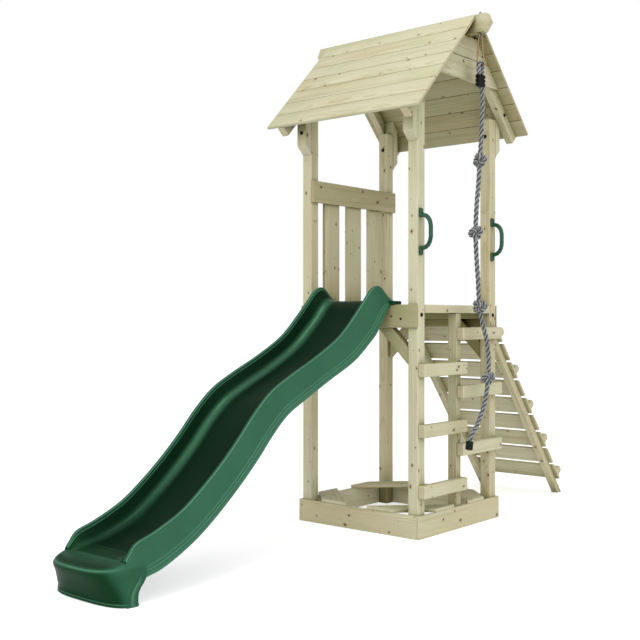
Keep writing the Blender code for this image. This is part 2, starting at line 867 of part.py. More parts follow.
def slide_foot_mesh():
    """The foot under the slide's end, lofted from the ground up to the landing."""
    work = bmesh.new()
    rings = []
    for front_z, back_z, reach, half in FOOT_RINGS:
        back = FOOT_BACK if back_z > 0.1 else FOOT_GROUND_BACK
        ring = []
        for index in range(FOOT_POINTS + 1):
            angle = math.pi * (index / FOOT_POINTS - 0.5)
            power = 2 / FOOT_SQUARENESS
            ahead = reach * math.cos(angle) ** power if abs(math.cos(angle)) > 1e-9 else 0.0
            side = math.copysign(abs(math.sin(angle)) ** power, angle) * half
            x = min(FOOT_BACK - ahead, back)
            z = back_z + (front_z - back_z) * ahead / reach
            ring.append(work.verts.new((x, WIDTH / 2 + side, z)))
        rings.append(ring)
    for ring, above in zip(rings, rings[1:]):
        for index in range(len(ring)):
            following = (index + 1) % len(ring)
            work.faces.new((ring[index], ring[following], above[following], above[index]))
    work.faces.new(rings[0])
    work.faces.new(rings[-1])
    bmesh.ops.recalc_face_normals(work, faces=work.faces)
    mesh = bpy.data.meshes.new("slide_foot")
    work.to_mesh(mesh)
    work.free()
    return mesh


def make_slide():
    slide = mesh_object("slide", slide_channel_mesh())
    skin = slide.modifiers.new("skin", "SOLIDIFY")
    skin.thickness = SLIDE_SKIN
    skin.offset = -1.0
    skin.use_even_offset = True
    foot = place(mesh_object("slide_foot", slide_foot_mesh()), None, CUTTERS)
    cut_with(slide, foot, "UNION")
    lip = cutter_box(
        "slide_lip",
        (LIP_FRONT, WIDTH / 2 - LIP_HALF, DECK_TOP + GAP),
        (LIP_BACK, WIDTH / 2 + LIP_HALF, LIP_TOP),
    )
    cut_with(slide, lip, "UNION")
    smooth_round(slide, 40)
    place(slide, GREEN)


def make_handle(name, x):
    """A D-shaped grip with two feet screwed to the post."""
    face = -GAP
    path = [(x, face - out, HANDLE_MIDDLE + up) for out, up in HANDLE_BEND]
    path += [(x, face - out, HANDLE_MIDDLE - up) for out, up in HANDLE_BEND[::-1]]
    handle = mesh_object(name, tube_mesh(name, path, HANDLE_TUBE, 3))
    for end, sign in (("top", 1), ("bottom", -1)):
        low, high = span(
            HANDLE_MIDDLE + sign * HANDLE_HALF, HANDLE_MIDDLE + sign * (HANDLE_HALF - HANDLE_FOOT)
        )
        foot = cutter_box(
            f"{name}_{end}_foot",
            (x - HANDLE_FOOT_HALF, face - HANDLE_FOOT_THICK, low),
            (x + HANDLE_FOOT_HALF, face, high),
        )
        ease_edges(foot, HANDLE_FOOT_EDGE)
        cut_with(handle, foot, "UNION")
    smooth_round(handle, 40)
    place(handle, GRIP)


def make_handles():
    make_handle("handle_slide_post", HANDLE_OFF)
    make_handle("handle_ramp_post", LENGTH - POST + HANDLE_OFF)


def arc(middle, radius, start, end, steps):
    """Points (across, up) on an arc, angles in degrees from straight right."""
    found = []
    for index in range(steps + 1):
        angle = math.radians(start + (end - start) * index / steps)
        found.append(
            (middle[0] + radius * math.cos(angle), middle[1] + radius * math.sin(angle))
        )
    return found


EYE_MIDDLE = RIDGE_BOTTOM - GAP - WIRE - EYE_RADIUS
EYE_WIRE = EYE_MIDDLE - EYE_RADIUS
LOOP = ROPE + WIRE + GAP


def make_eye_bolt():
    """An eye bolt through the ridge beam, with its nut and washer on top."""
    ring = [(BOLT_X + x, BOLT_Y, z) for x, z in arc((0.0, EYE_MIDDLE), EYE_RADIUS, 0, 345, 23)]
    bolt = mesh_object("eye_bolt", tube_mesh("eye_bolt", ring, WIRE, 2, cyclic=True))
    shank = rod_mesh(
        "shank",
        (BOLT_X, BOLT_Y, EYE_MIDDLE + EYE_RADIUS),
        (BOLT_X, BOLT_Y, RIDGE_TOP + SHANK_OUT),
        SHANK - 0.0002,
    )
    cut_with(bolt, place(mesh_object("shank", shank), None, CUTTERS), "UNION")
    nut = rod_mesh(
        "nut",
        (BOLT_X, BOLT_Y, RIDGE_TOP + GAP),
        (BOLT_X, BOLT_Y, RIDGE_TOP + NUT_TOP),
        NUT_RADIUS,
        6,
    )
    cut_with(bolt, place(mesh_object("nut", nut), None, CUTTERS), "UNION")
    smooth_round(bolt)
    place(bolt, ZINC)


def make_link():
    """A wire link, narrow where it hangs in the eye and wide where the rope goes over it."""
    side = LINK_HALF - LINK_CORNER
    low = LINK_BOTTOM + LINK_CORNER
    loop = arc((0.0, EYE_WIRE), LINK_BEND, 0, 180, 10)
    loop += arc((-side, low), LINK_CORNER, 180, 270, 5)
    loop += arc((side, low), LINK_CORNER, 270, 360, 5)
    path = [(BOLT_X, BOLT_Y + y, z) for y, z in loop]
    link = mesh_object("spring_link", tube_mesh("spring_link", path, WIRE, 2, cyclic=True))
    foot = Vector((BOLT_X, BOLT_Y + LINK_HALF, low))
    head = Vector((BOLT_X, BOLT_Y + LINK_BEND, EYE_WIRE))
    sleeve = rod_mesh(
        "sleeve", foot.lerp(head, SLEEVE_LOW), foot.lerp(head, SLEEVE_HIGH), SLEEVE, 12
    )
    cut_with(link, place(mesh_object("sleeve", sleeve), None, CUTTERS), "UNION")
    smooth_round(link)
    place(link, BRASS)


def rope_points():
    """The rope's middle line: dead end in the clamp, over the link, then down its route."""
    shoulder = LINK_BOTTOM - LOOP
    bend = [(-STRAND, CLAMP_BOTTOM + WIRE), (-STRAND, CLAMP_TOP), (-LOOP + GAP, shoulder)]
    bend += arc((0.0, LINK_BOTTOM), LOOP, 180, 0, 8)
    bend += [(LOOP - GAP, shoulder), (STRAND, CLAMP_TOP)]
    route = [(x, CLAMP_BOTTOM - drop) for x, drop in ROPE_ROUTE]
    hanging = smooth_line([(x, z, 0.0) for x, z in route[:-1]], 2)
    line = bend + [(x, z) for x, z, flat in hanging] + [route[-1]]
    return [(BOLT_X + x, BOLT_Y, z) for x, z in line]


def make_rope():
    """The rope with its four knots, as one piece."""
    points = rope_points()
    rope = mesh_object("rope", tube_mesh("rope", points, ROPE, 2))
    for index, drop in enumerate(KNOT_DROPS):
        height = CLAMP_BOTTOM - drop
        x = min(points[8:], key=lambda point: abs(point[2] - height))[0]
        work = bmesh.new()
        bmesh.ops.create_icosphere(work, subdivisions=3, radius=1.0)
        bmesh.ops.scale(work, verts=work.verts, vec=KNOT_HALF)
        bmesh.ops.translate(work, verts=work.verts, vec=(x, BOLT_Y, height))
        mesh = bpy.data.meshes.new(f"knot_{index}")
        work.to_mesh(mesh)
        work.free()
        knot = place(mesh_object(f"knot_{index}", mesh), None, CUTTERS)
        cut_with(rope, knot, "UNION")
    smooth_round(rope, 50)
    place(rope, FIBRE)


def make_clamp():
    """A ribbed clamp round the rope's two strands."""
    middle = (CLAMP_TOP + CLAMP_BOTTOM) / 2
    body = mesh_object(
        "rope_clamp",
        box_mesh(
            "rope_clamp",
            (BOLT_X - CLAMP_HALF_X, BOLT_Y - CLAMP_HALF_Y, CLAMP_BOTTOM),
            (BOLT_X + CLAMP_HALF_X, BOLT_Y + CLAMP_HALF_Y, CLAMP_TOP),
        ),
    )
    ease_edges(body, CLAMP_EDGE)
    pitch = (CLAMP_TOP - CLAMP_BOTTOM) / CLAMP_RIBS
    for index in range(1, CLAMP_RIBS):
        z = CLAMP_BOTTOM + index * pitch
        for side, low, high in (
            ("left", -CLAMP_HALF_X - ROPE, -CLAMP_HALF_X + CLAMP_GROOVE),
            ("right", CLAMP_HALF_X - CLAMP_GROOVE, CLAMP_HALF_X + ROPE),
        ):
            groove = cutter_box(
                f"clamp_groove_{side}_{index}",
                (BOLT_X + low, BOLT_Y - 2 * CLAMP_HALF_Y, z - CLAMP_GROOVE_HALF),
                (BOLT_X + high, BOLT_Y + 2 * CLAMP_HALF_Y, z + CLAMP_GROOVE_HALF),
            )
            cut_with(body, groove)
    bore = ROPE + GAP
    slot = arc((STRAND, 0.0), bore, -90, 90, 12) + arc((-STRAND, 0.0), bore, 90, 270, 12)
    outline = [(BOLT_X + x, BOLT_Y + y) for x, y in slot]
    cutter = mesh_object(
        "clamp_slot", outline_mesh("clamp_slot", outline, "Z", CLAMP_BOTTOM - ROPE, CLAMP_TOP + ROPE)
    )
    cut_with(body, place(cutter, None, CUTTERS))
    place(body, BLACK)


def make_end_cap():
    """A cap over the rope's lower end, turned round the rope's last direction."""
    points = rope_points()
    end = Vector(points[-1])
    along = (end - Vector(points[-2])).normalized()
    turn = Vector((0, 0, -1)).rotation_difference(along).to_matrix().to_4x4()
    bore = ROPE + GAP
    mouth = CAP_LENGTH - CAP_FLOOR - GAP
    profile = [
        (0.0, -mouth - GAP - CAP_FLOOR),
        (CAP_RADIUS - CAP_EDGE, -mouth - GAP - CAP_FLOOR),
        (CAP_RADIUS, -mouth - GAP - CAP_FLOOR + CAP_EDGE),
        (CAP_RADIUS, -CAP_EDGE / 2),
        (CAP_RADIUS - CAP_EDGE / 2, 0.0),
        (bore, 0.0),
        (bore, -mouth - GAP),
        (0.0, -mouth - GAP),
    ]
    work = bmesh.new()
    line = [work.verts.new((x, 0.0, z)) for x, z in profile]
    for one, other in zip(line, line[1:]):
        work.edges.new((one, other))
    mesh = bpy.data.meshes.new("end_cap")
    work.to_mesh(mesh)
    work.free()
    cap = mesh_object("end_cap", mesh)
    screw = cap.modifiers.new("turned", "SCREW")
    screw.steps = 24
    screw.render_steps = 24
    screw.use_merge_vertices = True
    screw.merge_threshold = 0.0001
    screw.use_normal_flip = True
    cap.matrix_world = Matrix.Translation(end - along * mouth) @ turn
    smooth_round(cap)
    place(cap, BLACK)


def build():
    make_posts()
    make_base()
    make_corner_seats()
    make_side_beams()
    make_deck()
    make_braces()
    make_balustrade()
    make_rungs()
    make_cladding()
    make_ridge_beam()
    make_rafters()
    make_cleats()
    make_infills()
    make_stringers()
    make_slats()
    make_slide()
    make_handles()
    make_eye_bolt()
    make_link()
    make_rope()
    make_clamp()
    make_end_cap()


build()
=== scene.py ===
"""The looks of the play tower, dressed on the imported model: pressure-treated pine with its grain
and knots, moulded plastic, metal fittings and a twisted rope with four knots.

Lengths are metres. Sizes that belong to the tower are written in its own frame, with x = 0 on the
posts' outer face on the slide side and y = 0 on the ladder side, and shared() moves them.
"""

import math
import random

import bmesh
import bpy
from mathutils import Matrix, Vector


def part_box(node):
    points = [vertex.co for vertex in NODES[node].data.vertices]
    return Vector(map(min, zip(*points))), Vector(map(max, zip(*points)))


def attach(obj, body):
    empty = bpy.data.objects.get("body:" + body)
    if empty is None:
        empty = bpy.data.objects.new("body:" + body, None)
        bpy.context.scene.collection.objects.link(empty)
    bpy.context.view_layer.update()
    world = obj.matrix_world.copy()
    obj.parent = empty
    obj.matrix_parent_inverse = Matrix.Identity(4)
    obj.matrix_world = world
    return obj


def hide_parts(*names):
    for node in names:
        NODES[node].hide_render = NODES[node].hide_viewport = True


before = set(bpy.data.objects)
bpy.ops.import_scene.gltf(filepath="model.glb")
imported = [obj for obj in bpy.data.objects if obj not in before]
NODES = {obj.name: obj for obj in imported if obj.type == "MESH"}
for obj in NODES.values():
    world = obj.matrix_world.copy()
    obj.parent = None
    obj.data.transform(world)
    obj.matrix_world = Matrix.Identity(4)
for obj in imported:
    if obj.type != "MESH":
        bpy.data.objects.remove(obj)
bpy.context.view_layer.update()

# The tower's frame inside the shared frame
SHIFT = Vector(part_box("post_ladder_slide")[0])
LENGTH = 0.772
WIDTH = 0.780
POST = 0.063
GAP = 0.0003

# The photograph's camera, in the tower's frame
CAMERA_AT = (-4.2436, -2.9274, 1.126)
CAMERA_TURN = (89.935, 0.0, -49.842)
CAMERA_LENS = 56.63
SENSOR = 36.0

X_AXIS = Vector((1, 0, 0))
Y_AXIS = Vector((0, 1, 0))
Z_AXIS = Vector((0, 0, 1))


# Short helpers


def shared(point):
    """A point of the tower's frame in the shared frame."""
    return Vector(point) + SHIFT


def new_object(name, data):
    """An object in the scene with this mesh, camera or lamp."""
    obj = bpy.data.objects.new(name, data)
    bpy.context.scene.collection.objects.link(obj)
    return obj


def mesh_of(name, verts, faces):
    mesh = bpy.data.meshes.new(name)
    mesh.from_pydata(verts, [], faces)
    return mesh


def mesh_from(name, work):
    """The mesh that this bmesh holds. The bmesh is freed."""
    mesh = bpy.data.meshes.new(name)
    work.to_mesh(mesh)
    work.free()
    return mesh


def tube_faces(first, rows, sides):
    """Faces of a closed tube whose points come row by row, from this index on."""
    faces = []
    for row in range(rows - 1):
        low = first + row * sides
        high = low + sides
        for corner in range(sides):
            following = (corner + 1) % sides
            faces.append((low + corner, low + following, high + following, high + corner))
    last = first + (rows - 1) * sides
    faces.append(tuple(range(first + sides - 1, first - 1, -1)))
    faces.append(tuple(range(last, last + sides)))
    return faces


def smooth_share(value, low, high):
    """0 up to the low value, 1 from the high one on, and a smooth rise between them."""
    share = min(1.0, max(0.0, (value - low) / (high - low)))
    return share * share * (3 - 2 * share)


def rgb(red, green, blue):
    """A colour as it looks on screen, 0 to 255, as the linear colour that a shader takes."""

    def linear(value):
        value /= 255
        return value / 12.92 if value <= 0.04045 else ((value + 0.055) / 1.055) ** 2.4

    return (linear(red), linear(green), linear(blue), 1.0)


class Nodes:
    """Short calls for building a node tree."""

    def __init__(self, tree):
        self.tree = tree
        self.place = self.add("ShaderNodeTexCoord").outputs

    def add(self, kind, sockets=None, **settings):
        """A node with these settings, and with these sockets set or linked."""
        node = self.tree.nodes.new(kind)
        for key, value in settings.items():
            setattr(node, key, value)
        for socket, value in (sockets or {}).items():
            self.feed(node.inputs[socket], value)
        return node

    def feed(self, socket, value):
        if hasattr(value, "is_output"):
            self.tree.links.new(value, socket)
        else:
            socket.default_value = value

    def math(self, operation, first, second=0.0):
        return self.add("ShaderNodeMath", {0: first, 1: second}, operation=operation).outputs[0]

    def plus(self, first, second):
        return self.math("ADD", first, second)

    def times(self, first, second):
        return self.math("MULTIPLY", first, second)

    def mix(self, factor, first, second, blend="MIX"):
        sockets = {0: factor, 6: first, 7: second}
        return self.add("ShaderNodeMix", sockets, data_type="RGBA", blend_type=blend).outputs[2]

    def spread(self, value, low, high, to_low=0.0, to_high=1.0, smooth=True):
        """The value's range from low to high, stretched to the new range."""
        sockets = {0: value, 1: low, 2: high, 3: to_low, 4: to_high}
        curve = "SMOOTHSTEP" if smooth else "LINEAR"
        return self.add("ShaderNodeMapRange", sockets, interpolation_type=curve).outputs[0]

    def split(self, vector):
        return self.add("ShaderNodeSeparateXYZ", {"Vector": vector}).outputs

    def join(self, x=0.0, y=0.0, z=0.0):
        return self.add("ShaderNodeCombineXYZ", {"X": x, "Y": y, "Z": z}).outputs["Vector"]

    def mapped(self, where, turn=(0, 0, 0), shift=(0, 0, 0), size=(1, 1, 1)):
        sockets = {"Vector": where, "Location": shift, "Rotation": turn, "Scale": size}
        return self.add("ShaderNodeMapping", sockets).outputs["Vector"]

    def noise(self, where, scale, detail=2.0, roughness=0.5):
        sockets = {"Vector": where, "Scale": scale, "Detail": detail, "Roughness": roughness}
        return self.add("ShaderNodeTexNoise", sockets).outputs["Fac"]

    def streaks(self, where, scales, detail=2.0, roughness=0.5, shift=(0, 0, 0)):
        """Noise with its own scale along each axis."""
        return self.noise(self.mapped(where, shift=shift, size=scales), 1.0, detail, roughness)

    def wave(self, sockets, kind, axis_name, axis, profile):
        settings = {"wave_type": kind, axis_name: axis, "wave_profile": profile}
        return self.add("ShaderNodeTexWave", sockets, **settings).outputs["Fac"]

    def openness(self, reach):
        """1 in the open and 0 deep in a corner, looking this far."""
        return self.add("ShaderNodeAmbientOcclusion", {"Distance": reach}, samples=6).outputs["AO"]

    def bump(self, height, strength, depth):
        sockets = {"Height": height, "Strength": strength, "Distance": depth}
        return self.add("ShaderNodeBump", sockets).outputs["Normal"]


class Paint(Nodes):
    """A new material and its nodes."""

    def __init__(self, name):
        self.material = bpy.data.materials.new(name)
        self.material.use_nodes = True
        super().__init__(self.material.node_tree)
        self.shader = self.tree.nodes["Principled BSDF"]

    def surface(self, socket, value):
        """Sets or links a socket of the material's shader."""
        self.feed(self.shader.inputs[socket], value)


# Wood

PALE = rgb(214, 209, 179)
WARM = rgb(207, 196, 159)
GREENISH = rgb(196, 198, 157)
LATEWOOD = rgb(174, 160, 114)
KNOT_DARK = rgb(60, 42, 28)
KNOT_RIM = rgb(152, 118, 82)
END_GRAIN = rgb(201, 188, 156)
END_RING = rgb(158, 138, 104)
# Painted shade: a tone multiplied in over pieces that stand in shadow and into corners and joints,
# and a darker one for crevices
PAINTED_SHADE_TONE = rgb(149, 143, 62)
PAINTED_CREVICE_TONE = rgb(92, 84, 52)

# How fine each pattern is along the grain and the two ways across it
KNOT_WAVER = (30.0, 60.0, 60.0)
RING_WAVER = (1.3, 5.0, 5.0)
FIBRES = (9.0, 420.0, 420.0)
STREAKS = (1.4, 38.0, 38.0)
WARM_PATCHES = (1.2, 3.5, 3.5)
GREEN_PATCHES = (2.2, 5.0, 5.0)
GREEN_SHIFT = (3.1, 1.7, 0.4)

# Knots: cells for them, their range of sizes, and where their core, rim and bent grain end
KNOT_CELLS = 11.0
KNOT_STRETCH = 0.7
KNOT_WOBBLE = 0.010
KNOT_SIZES = (0.25, 1.1)
SMALLEST_KNOTS = 0.15
CORE_EDGE = (0.040, 0.070)
RIM_EDGE = (0.055, 0.160)
BENT_GRAIN = 0.34

# Growth rings: how fine they are, how far the pith lies from the board, and how they waver
RING_SCALE = 52.0
PITH_ASIDE = 0.03
PITH_FAR = (0.03, 0.09)
RING_SWAY = (0.0, 0.05, 0.06)
KNOT_BEND = 0.16

# How much of each tone shows
GREEN_SHARE = 0.75
LATE_SHARE = 0.42
STREAK_SHARE = 0.46
RIM_SHARE = 0.55
CORE_SHARE = 0.90
END_SHARE = 0.70
END_RING_SHARE = 0.55
# Painted shade: how dark crevices get, and how far round each point the shade looks for walls
CREVICE_SHADE_SHARE = 0.80
SHADE_REACH = 0.16
TINT = 0.5
WARMTH = 0.08
# How far from its board a pattern may start
PATTERN_FAR = 9

# Painted shade: how much darker each piece is painted all over, where it stands in shadow, and how
# much painted shade its corners and joints get
PIECE_SHADE = {
    "base_board": (0.0, 0.10),
    "seat": (0.0, 0.80),
    "stringer": (0.0, 0.60),
    "side_beam": (0.50, 1.0),
    "guard_rail": (0.34, 1.0),
    "baluster": (0.14, 1.0),
    "ladder_mid": (0.20, 1.0),
    "roof_board_ramp": (0.34, 1.0),
    "roof_board_slide": (0.05, 1.0),
    "brace_ladder_ramp": (0.75, 1.0),
    "brace": (0.45, 1.0),
    "bearer": (0.50, 1.0),
}
OTHER_SHADE = (0.0, 1.0)


def knot_field(m, board, second, seed):
    """Distance from the nearest knot in knot sizes, on faces that hold the grain and this axis."""
    place = m.split(board)
    along = m.plus(m.times(place["X"], KNOT_STRETCH), seed)
    wobble = m.times(m.streaks(board, KNOT_WAVER), KNOT_WOBBLE)
    spot = m.join(m.plus(along, wobble), m.plus(place[second], wobble))
    sockets = {"Vector": spot, "Scale": KNOT_CELLS}
    cells = m.add("ShaderNodeTexVoronoi", sockets, feature="F1", voronoi_dimensions="2D")
    chance = m.add("ShaderNodeSeparateColor", {"Color": cells.outputs["Color"]}).outputs[0]
    size = m.spread(chance, SMALLEST_KNOTS, 1.0, *KNOT_SIZES, smooth=False)
    return m.math("DIVIDE", cells.outputs["Distance"], size)


def knots(m, board, sides, rng):
    """Distance from the nearest knot. Knots go through the board, to its wide faces and edges."""
    wide = knot_field(m, board, "Y", rng.uniform(1, 5))
    edge = knot_field(m, board, "Z", rng.uniform(5, 9))
    on_edge = m.spread(m.math("ABSOLUTE", sides["Y"]), 0.6, 0.8)
    return m.add("ShaderNodeMix", {0: on_edge, 2: wide, 3: edge}, data_type="FLOAT").outputs[0]


def late_wood(m, own, board, far, rng):
    """The dark part of the growth rings, wavy along the board and bent round the knots."""
    waver = m.streaks(board, RING_WAVER)
    bent = m.times(m.spread(far, 0.0, BENT_GRAIN, 1.0, 0.0), KNOT_BEND)
    aside = rng.uniform(-PITH_ASIDE, PITH_ASIDE)
    pith = (0.0, aside, rng.choice((-1, 1)) * rng.uniform(*PITH_FAR))
    sockets = {
        0: m.join(0.0, waver, m.plus(waver, bent)),
        1: RING_SWAY,
        2: m.mapped(own, shift=pith),
    }
    swayed = m.add("ShaderNodeVectorMath", sockets, operation="MULTIPLY_ADD").outputs["Vector"]
    sockets = {"Vector": swayed, "Scale": RING_SCALE, "Distortion": 0.5, "Detail Scale": 1.2}
    return m.spread(m.wave(sockets, "RINGS", "rings_direction", "X", "SAW"), 0.45, 1.0)


def wood_tones(m, board, late, fibre, warmth, tint):
    """Warm and greenish patches, then rings, streaks and fine fibres."""
    warm = m.spread(m.streaks(board, WARM_PATCHES), 0.41 + warmth, 0.74 + warmth)
    colour = m.mix(warm, PALE, WARM)
    treated = m.streaks(board, GREEN_PATCHES, shift=GREEN_SHIFT)
    green = m.spread(treated, 0.60 - 0.25 * tint, 0.86 - 0.20 * tint)
    colour = m.mix(m.times(green, GREEN_SHARE), colour, GREENISH)
    colour = m.mix(m.times(late, LATE_SHARE), colour, LATEWOOD)
    streak = m.streaks(board, STREAKS, 3.0, 0.55)
    colour = m.mix(m.spread(streak, 0.46, 0.78, 0.0, STREAK_SHARE), colour, LATEWOOD)
    shade = m.spread(fibre, 0.2, 0.8, 0.90, 1.05, smooth=False)
    grey = m.add("ShaderNodeCombineColor", {0: shade, 1: shade, 2: shade}).outputs["Color"]
    return m.mix(1.0, colour, grey, "MULTIPLY")


def painted_shade(m, colour, name):
    """The colour with painted shade over pieces that stand in shadow and in their corners and
    joints.
    """
    found = (tones for start, tones in PIECE_SHADE.items() if name.startswith(f"wood_{start}"))
    shade_all_over, corner_shade = next(found, OTHER_SHADE)
    most = max(shade_all_over, corner_shade)
    openness = m.openness(SHADE_REACH)
    # Painted shade, deeper the more a point is closed in
    shade = m.spread(openness, 0.10, 0.95, most, shade_all_over, smooth=False)
    colour = m.mix(shade, colour, PAINTED_SHADE_TONE, "MULTIPLY")
    # Darker painted shade deep in crevices
    crevice_shade = m.spread(openness, 0.05, 0.42, CREVICE_SHADE_SHARE * most, 0.0)
    return m.mix(crevice_shade, colour, PAINTED_CREVICE_TONE, "MULTIPLY")


def wood(name, direction, seed, centre, tint=TINT):
    """Pressure-treated pine with its grain along this direction, for a board round this centre."""
    rng = random.Random(seed)
    m = Paint(name)
    turn = direction.rotation_difference(X_AXIS)
    angles = turn.to_euler("XYZ")
    own = m.mapped(m.place["Object"], turn=angles, shift=-(turn @ Vector(centre)))
    board = m.mapped(own, shift=[rng.uniform(-PATTERN_FAR, PATTERN_FAR) for axis in range(3)])
    sockets = {"Vector": m.place["Normal"], "Rotation": angles}
    normal = m.add("ShaderNodeVectorRotate", sockets, rotation_type="EULER_XYZ").outputs["Vector"]
    sides = m.split(normal)

    far = knots(m, board, sides, rng)
    late = late_wood(m, own, board, far, rng)
    fibre = m.streaks(board, FIBRES, 3.0, 0.6)
    colour = wood_tones(m, board, late, fibre, rng.uniform(-WARMTH, WARMTH), tint)
    core = m.spread(far, *CORE_EDGE, 1.0, 0.0)
    rim = m.spread(far, *RIM_EDGE, 1.0, 0.0)
    colour = m.mix(m.times(rim, RIM_SHARE), colour, KNOT_RIM)
    colour = m.mix(m.times(core, CORE_SHARE), colour, KNOT_DARK)

    # Cut ends are browner and show the rings
    end = m.spread(m.math("ABSOLUTE", sides["X"]), 0.80, 0.92)
    end_colour = m.mix(m.times(late, END_RING_SHARE), END_GRAIN, END_RING)
    colour = m.mix(m.times(end, END_SHARE), colour, end_colour)
    m.surface("Base Color", painted_shade(m, colour, name))

    m.surface("Roughness", m.plus(m.spread(fibre, 0.2, 0.8, 0.58, 0.72), m.times(late, -0.07)))
    m.surface("Specular IOR Level", 0.30)
    height = m.plus(m.times(fibre, 0.5), m.times(late, 0.5))
    height = m.math("SUBTRACT", height, m.times(core, 0.8))
    m.surface("Normal", m.bump(height, 0.35, 0.0006))
    return m.material


# Plastic, metal and rope

DRAG_MARKS = (3.0, 60.0, 3.0)
OUTER_GREENS = (rgb(45, 95, 69), rgb(41, 89, 64))
# Painted shade: the channel and the landing are given darker greens than the outer walls
SHADED_CHANNEL_GREENS = (rgb(10, 36, 20), rgb(8, 32, 18))
SHADED_LANDING_GREEN = rgb(22, 56, 32)
# Painted highlight along the rims, creases, fillet and nose
HIGHLIGHT_GREEN = rgb(92, 150, 118)
OUTER_TINT = rgb(196, 255, 222)
CHANNEL_TINT = rgb(140, 250, 178)
# The channel turns into the landing between these two x
LANDING_STARTS = (-1.70, -1.60)
# Mesh attributes: one marks the channel, its painted shade and its gloss; the other the painted
# highlight and extra gloss on the edges
CHANNEL_SHADE_LAYER = "channel_and_painted_shade"
HIGHLIGHT_LAYER = "edge_highlight_and_gloss"
YARNS = (3.0, 28.0, 2.0)
# Painted shade in the grooves between yarns and where the strands meet
YARN_SHADE = rgb(38, 44, 47)
YARN_GAP_SHADE = rgb(18, 21, 23)


def slow_tone(m):
    """Slow changes of tone, 0 to 1."""
    return m.spread(m.noise(m.place["Object"], 5.0, 3.0), 0.3, 0.7)


def drag_marks(m, least, most):
    """Faint marks along the plastic from its mould, between these two values."""
    marks = m.streaks(m.place["Object"], DRAG_MARKS, 3.0)
    return m.spread(marks, 0.25, 0.75, least, most)


def moulded_plastic(name, colours, roughness, skin_scale, skin_depth, gloss=0.5):
    """Moulded plastic with a faint skin texture and slow changes of tone."""
    m = Paint(name)
    m.surface("Base Color", m.mix(slow_tone(m), *colours))
    m.surface("Roughness", m.plus(drag_marks(m, -0.04, 0.05), roughness))
    m.surface("Specular IOR Level", gloss)
    skin = m.noise(m.place["Object"], skin_scale, 3.0, 0.6)
    m.surface("Normal", m.bump(skin, 0.25, skin_depth))
    return m.material


def slide_plastic():
    """Moulded plastic: matt on the outer walls, with painted shade in the channel and on the
    landing, and painted highlights on its edges.
    """
    m = Paint("slide_green")
    where = m.place["Object"]
    channel_shade = m.add("ShaderNodeAttribute", attribute_name=CHANNEL_SHADE_LAYER).outputs["Fac"]
    edge = m.add("ShaderNodeAttribute", attribute_name=HIGHLIGHT_LAYER).outputs["Fac"]
    ends = [SHIFT.x + x for x in LANDING_STARTS]
    landing = m.spread(m.split(where)["X"], *ends, 1.0, 0.0)
    tone = slow_tone(m)
    # Painted shade: darker greens where the attribute marks the channel, the landing and the foot's
    # front
    shaded_channel = m.mix(landing, m.mix(tone, *SHADED_CHANNEL_GREENS), SHADED_LANDING_GREEN)
    colour = m.mix(channel_shade, m.mix(tone, *OUTER_GREENS), shaded_channel)
    # Painted highlight: a paler green on the marked edges, broken up by noise
    broken_highlight = m.spread(m.noise(where, 46.0, 3.0, 0.6), 0.2, 0.8, 0.55, 0.85, smooth=False)
    m.surface("Base Color", m.mix(m.times(edge, broken_highlight), colour, HIGHLIGHT_GREEN))
    rough = m.plus(drag_marks(m, -0.03, 0.04), m.times(channel_shade, -0.12))
    m.surface("Roughness", m.plus(rough, 0.42))
    matt = m.times(channel_shade, m.plus(m.times(landing, 0.09), 0.30))
    gloss = m.plus(m.math("SUBTRACT", 0.44, matt), m.times(edge, 0.8))
    m.surface("Specular IOR Level", gloss)
    m.surface("Specular Tint", m.mix(channel_shade, OUTER_TINT, CHANNEL_TINT))
    m.surface("Normal", m.bump(m.noise(where, 620.0, 3.0, 0.6), 0.18, 0.0004))
    return m.material


def metal(name, colour, worn, roughness):
    """Metal with small patches that are duller and rougher."""
    m = Paint(name)
    where = m.place["Object"]
    patch = m.noise(where, 160.0, 3.0, 0.6)
    m.surface("Base Color", m.mix(m.spread(patch, 0.35, 0.7), colour, worn))
    m.surface("Metallic", 1.0)
    m.surface("Roughness", m.spread(patch, 0.3, 0.7, roughness - 0.06, roughness + 0.10))
    m.surface("Normal", m.bump(m.noise(where, 900.0), 0.2, 0.0002))
    return m.material


def rope_fibre(name, pale, dark):
    """Rope yarn. U runs along the strand and V round it, so the yarns cross it at a slant."""
    m = Paint(name)
    sockets = {"Vector": m.place["UV"], "Scale": 2.6, "Distortion": 0.8}
    yarns = m.wave(sockets, "BANDS", "bands_direction", "DIAGONAL", "SIN")
    hairs = m.streaks(m.place["UV"], YARNS, 4.0, 0.6)
    slow = m.noise(m.place["Object"], 34.0)
    colour = m.mix(m.spread(hairs, 0.30, 0.72), dark, pale)
    colour = m.mix(m.spread(slow, 0.35, 0.70, 0.0, 0.45), colour, dark)
    # Painted shade in the grooves between the yarns
    colour = m.mix(m.spread(yarns, 0.0, 0.5, 0.55, 0.0), colour, YARN_SHADE)
    # Painted shade where the strands press together and in the knots' hollows
    outward = m.math("COSINE", m.times(m.split(m.place["UV"])["Y"], math.tau))
    colour = m.mix(m.spread(outward, -0.1, 0.9, 0.95, 0.0), colour, YARN_GAP_SHADE)
    colour = m.mix(m.spread(m.openness(0.02), 0.15, 0.75, 0.8, 0.0), colour, YARN_GAP_SHADE)
    m.surface("Base Color", colour)
    m.surface("Roughness", 0.82)
    m.surface("Sheen Weight", 0.25)
    m.surface("Normal", m.bump(m.plus(yarns, m.times(hairs, 0.5)), 0.6, 0.0012))
    return m.material


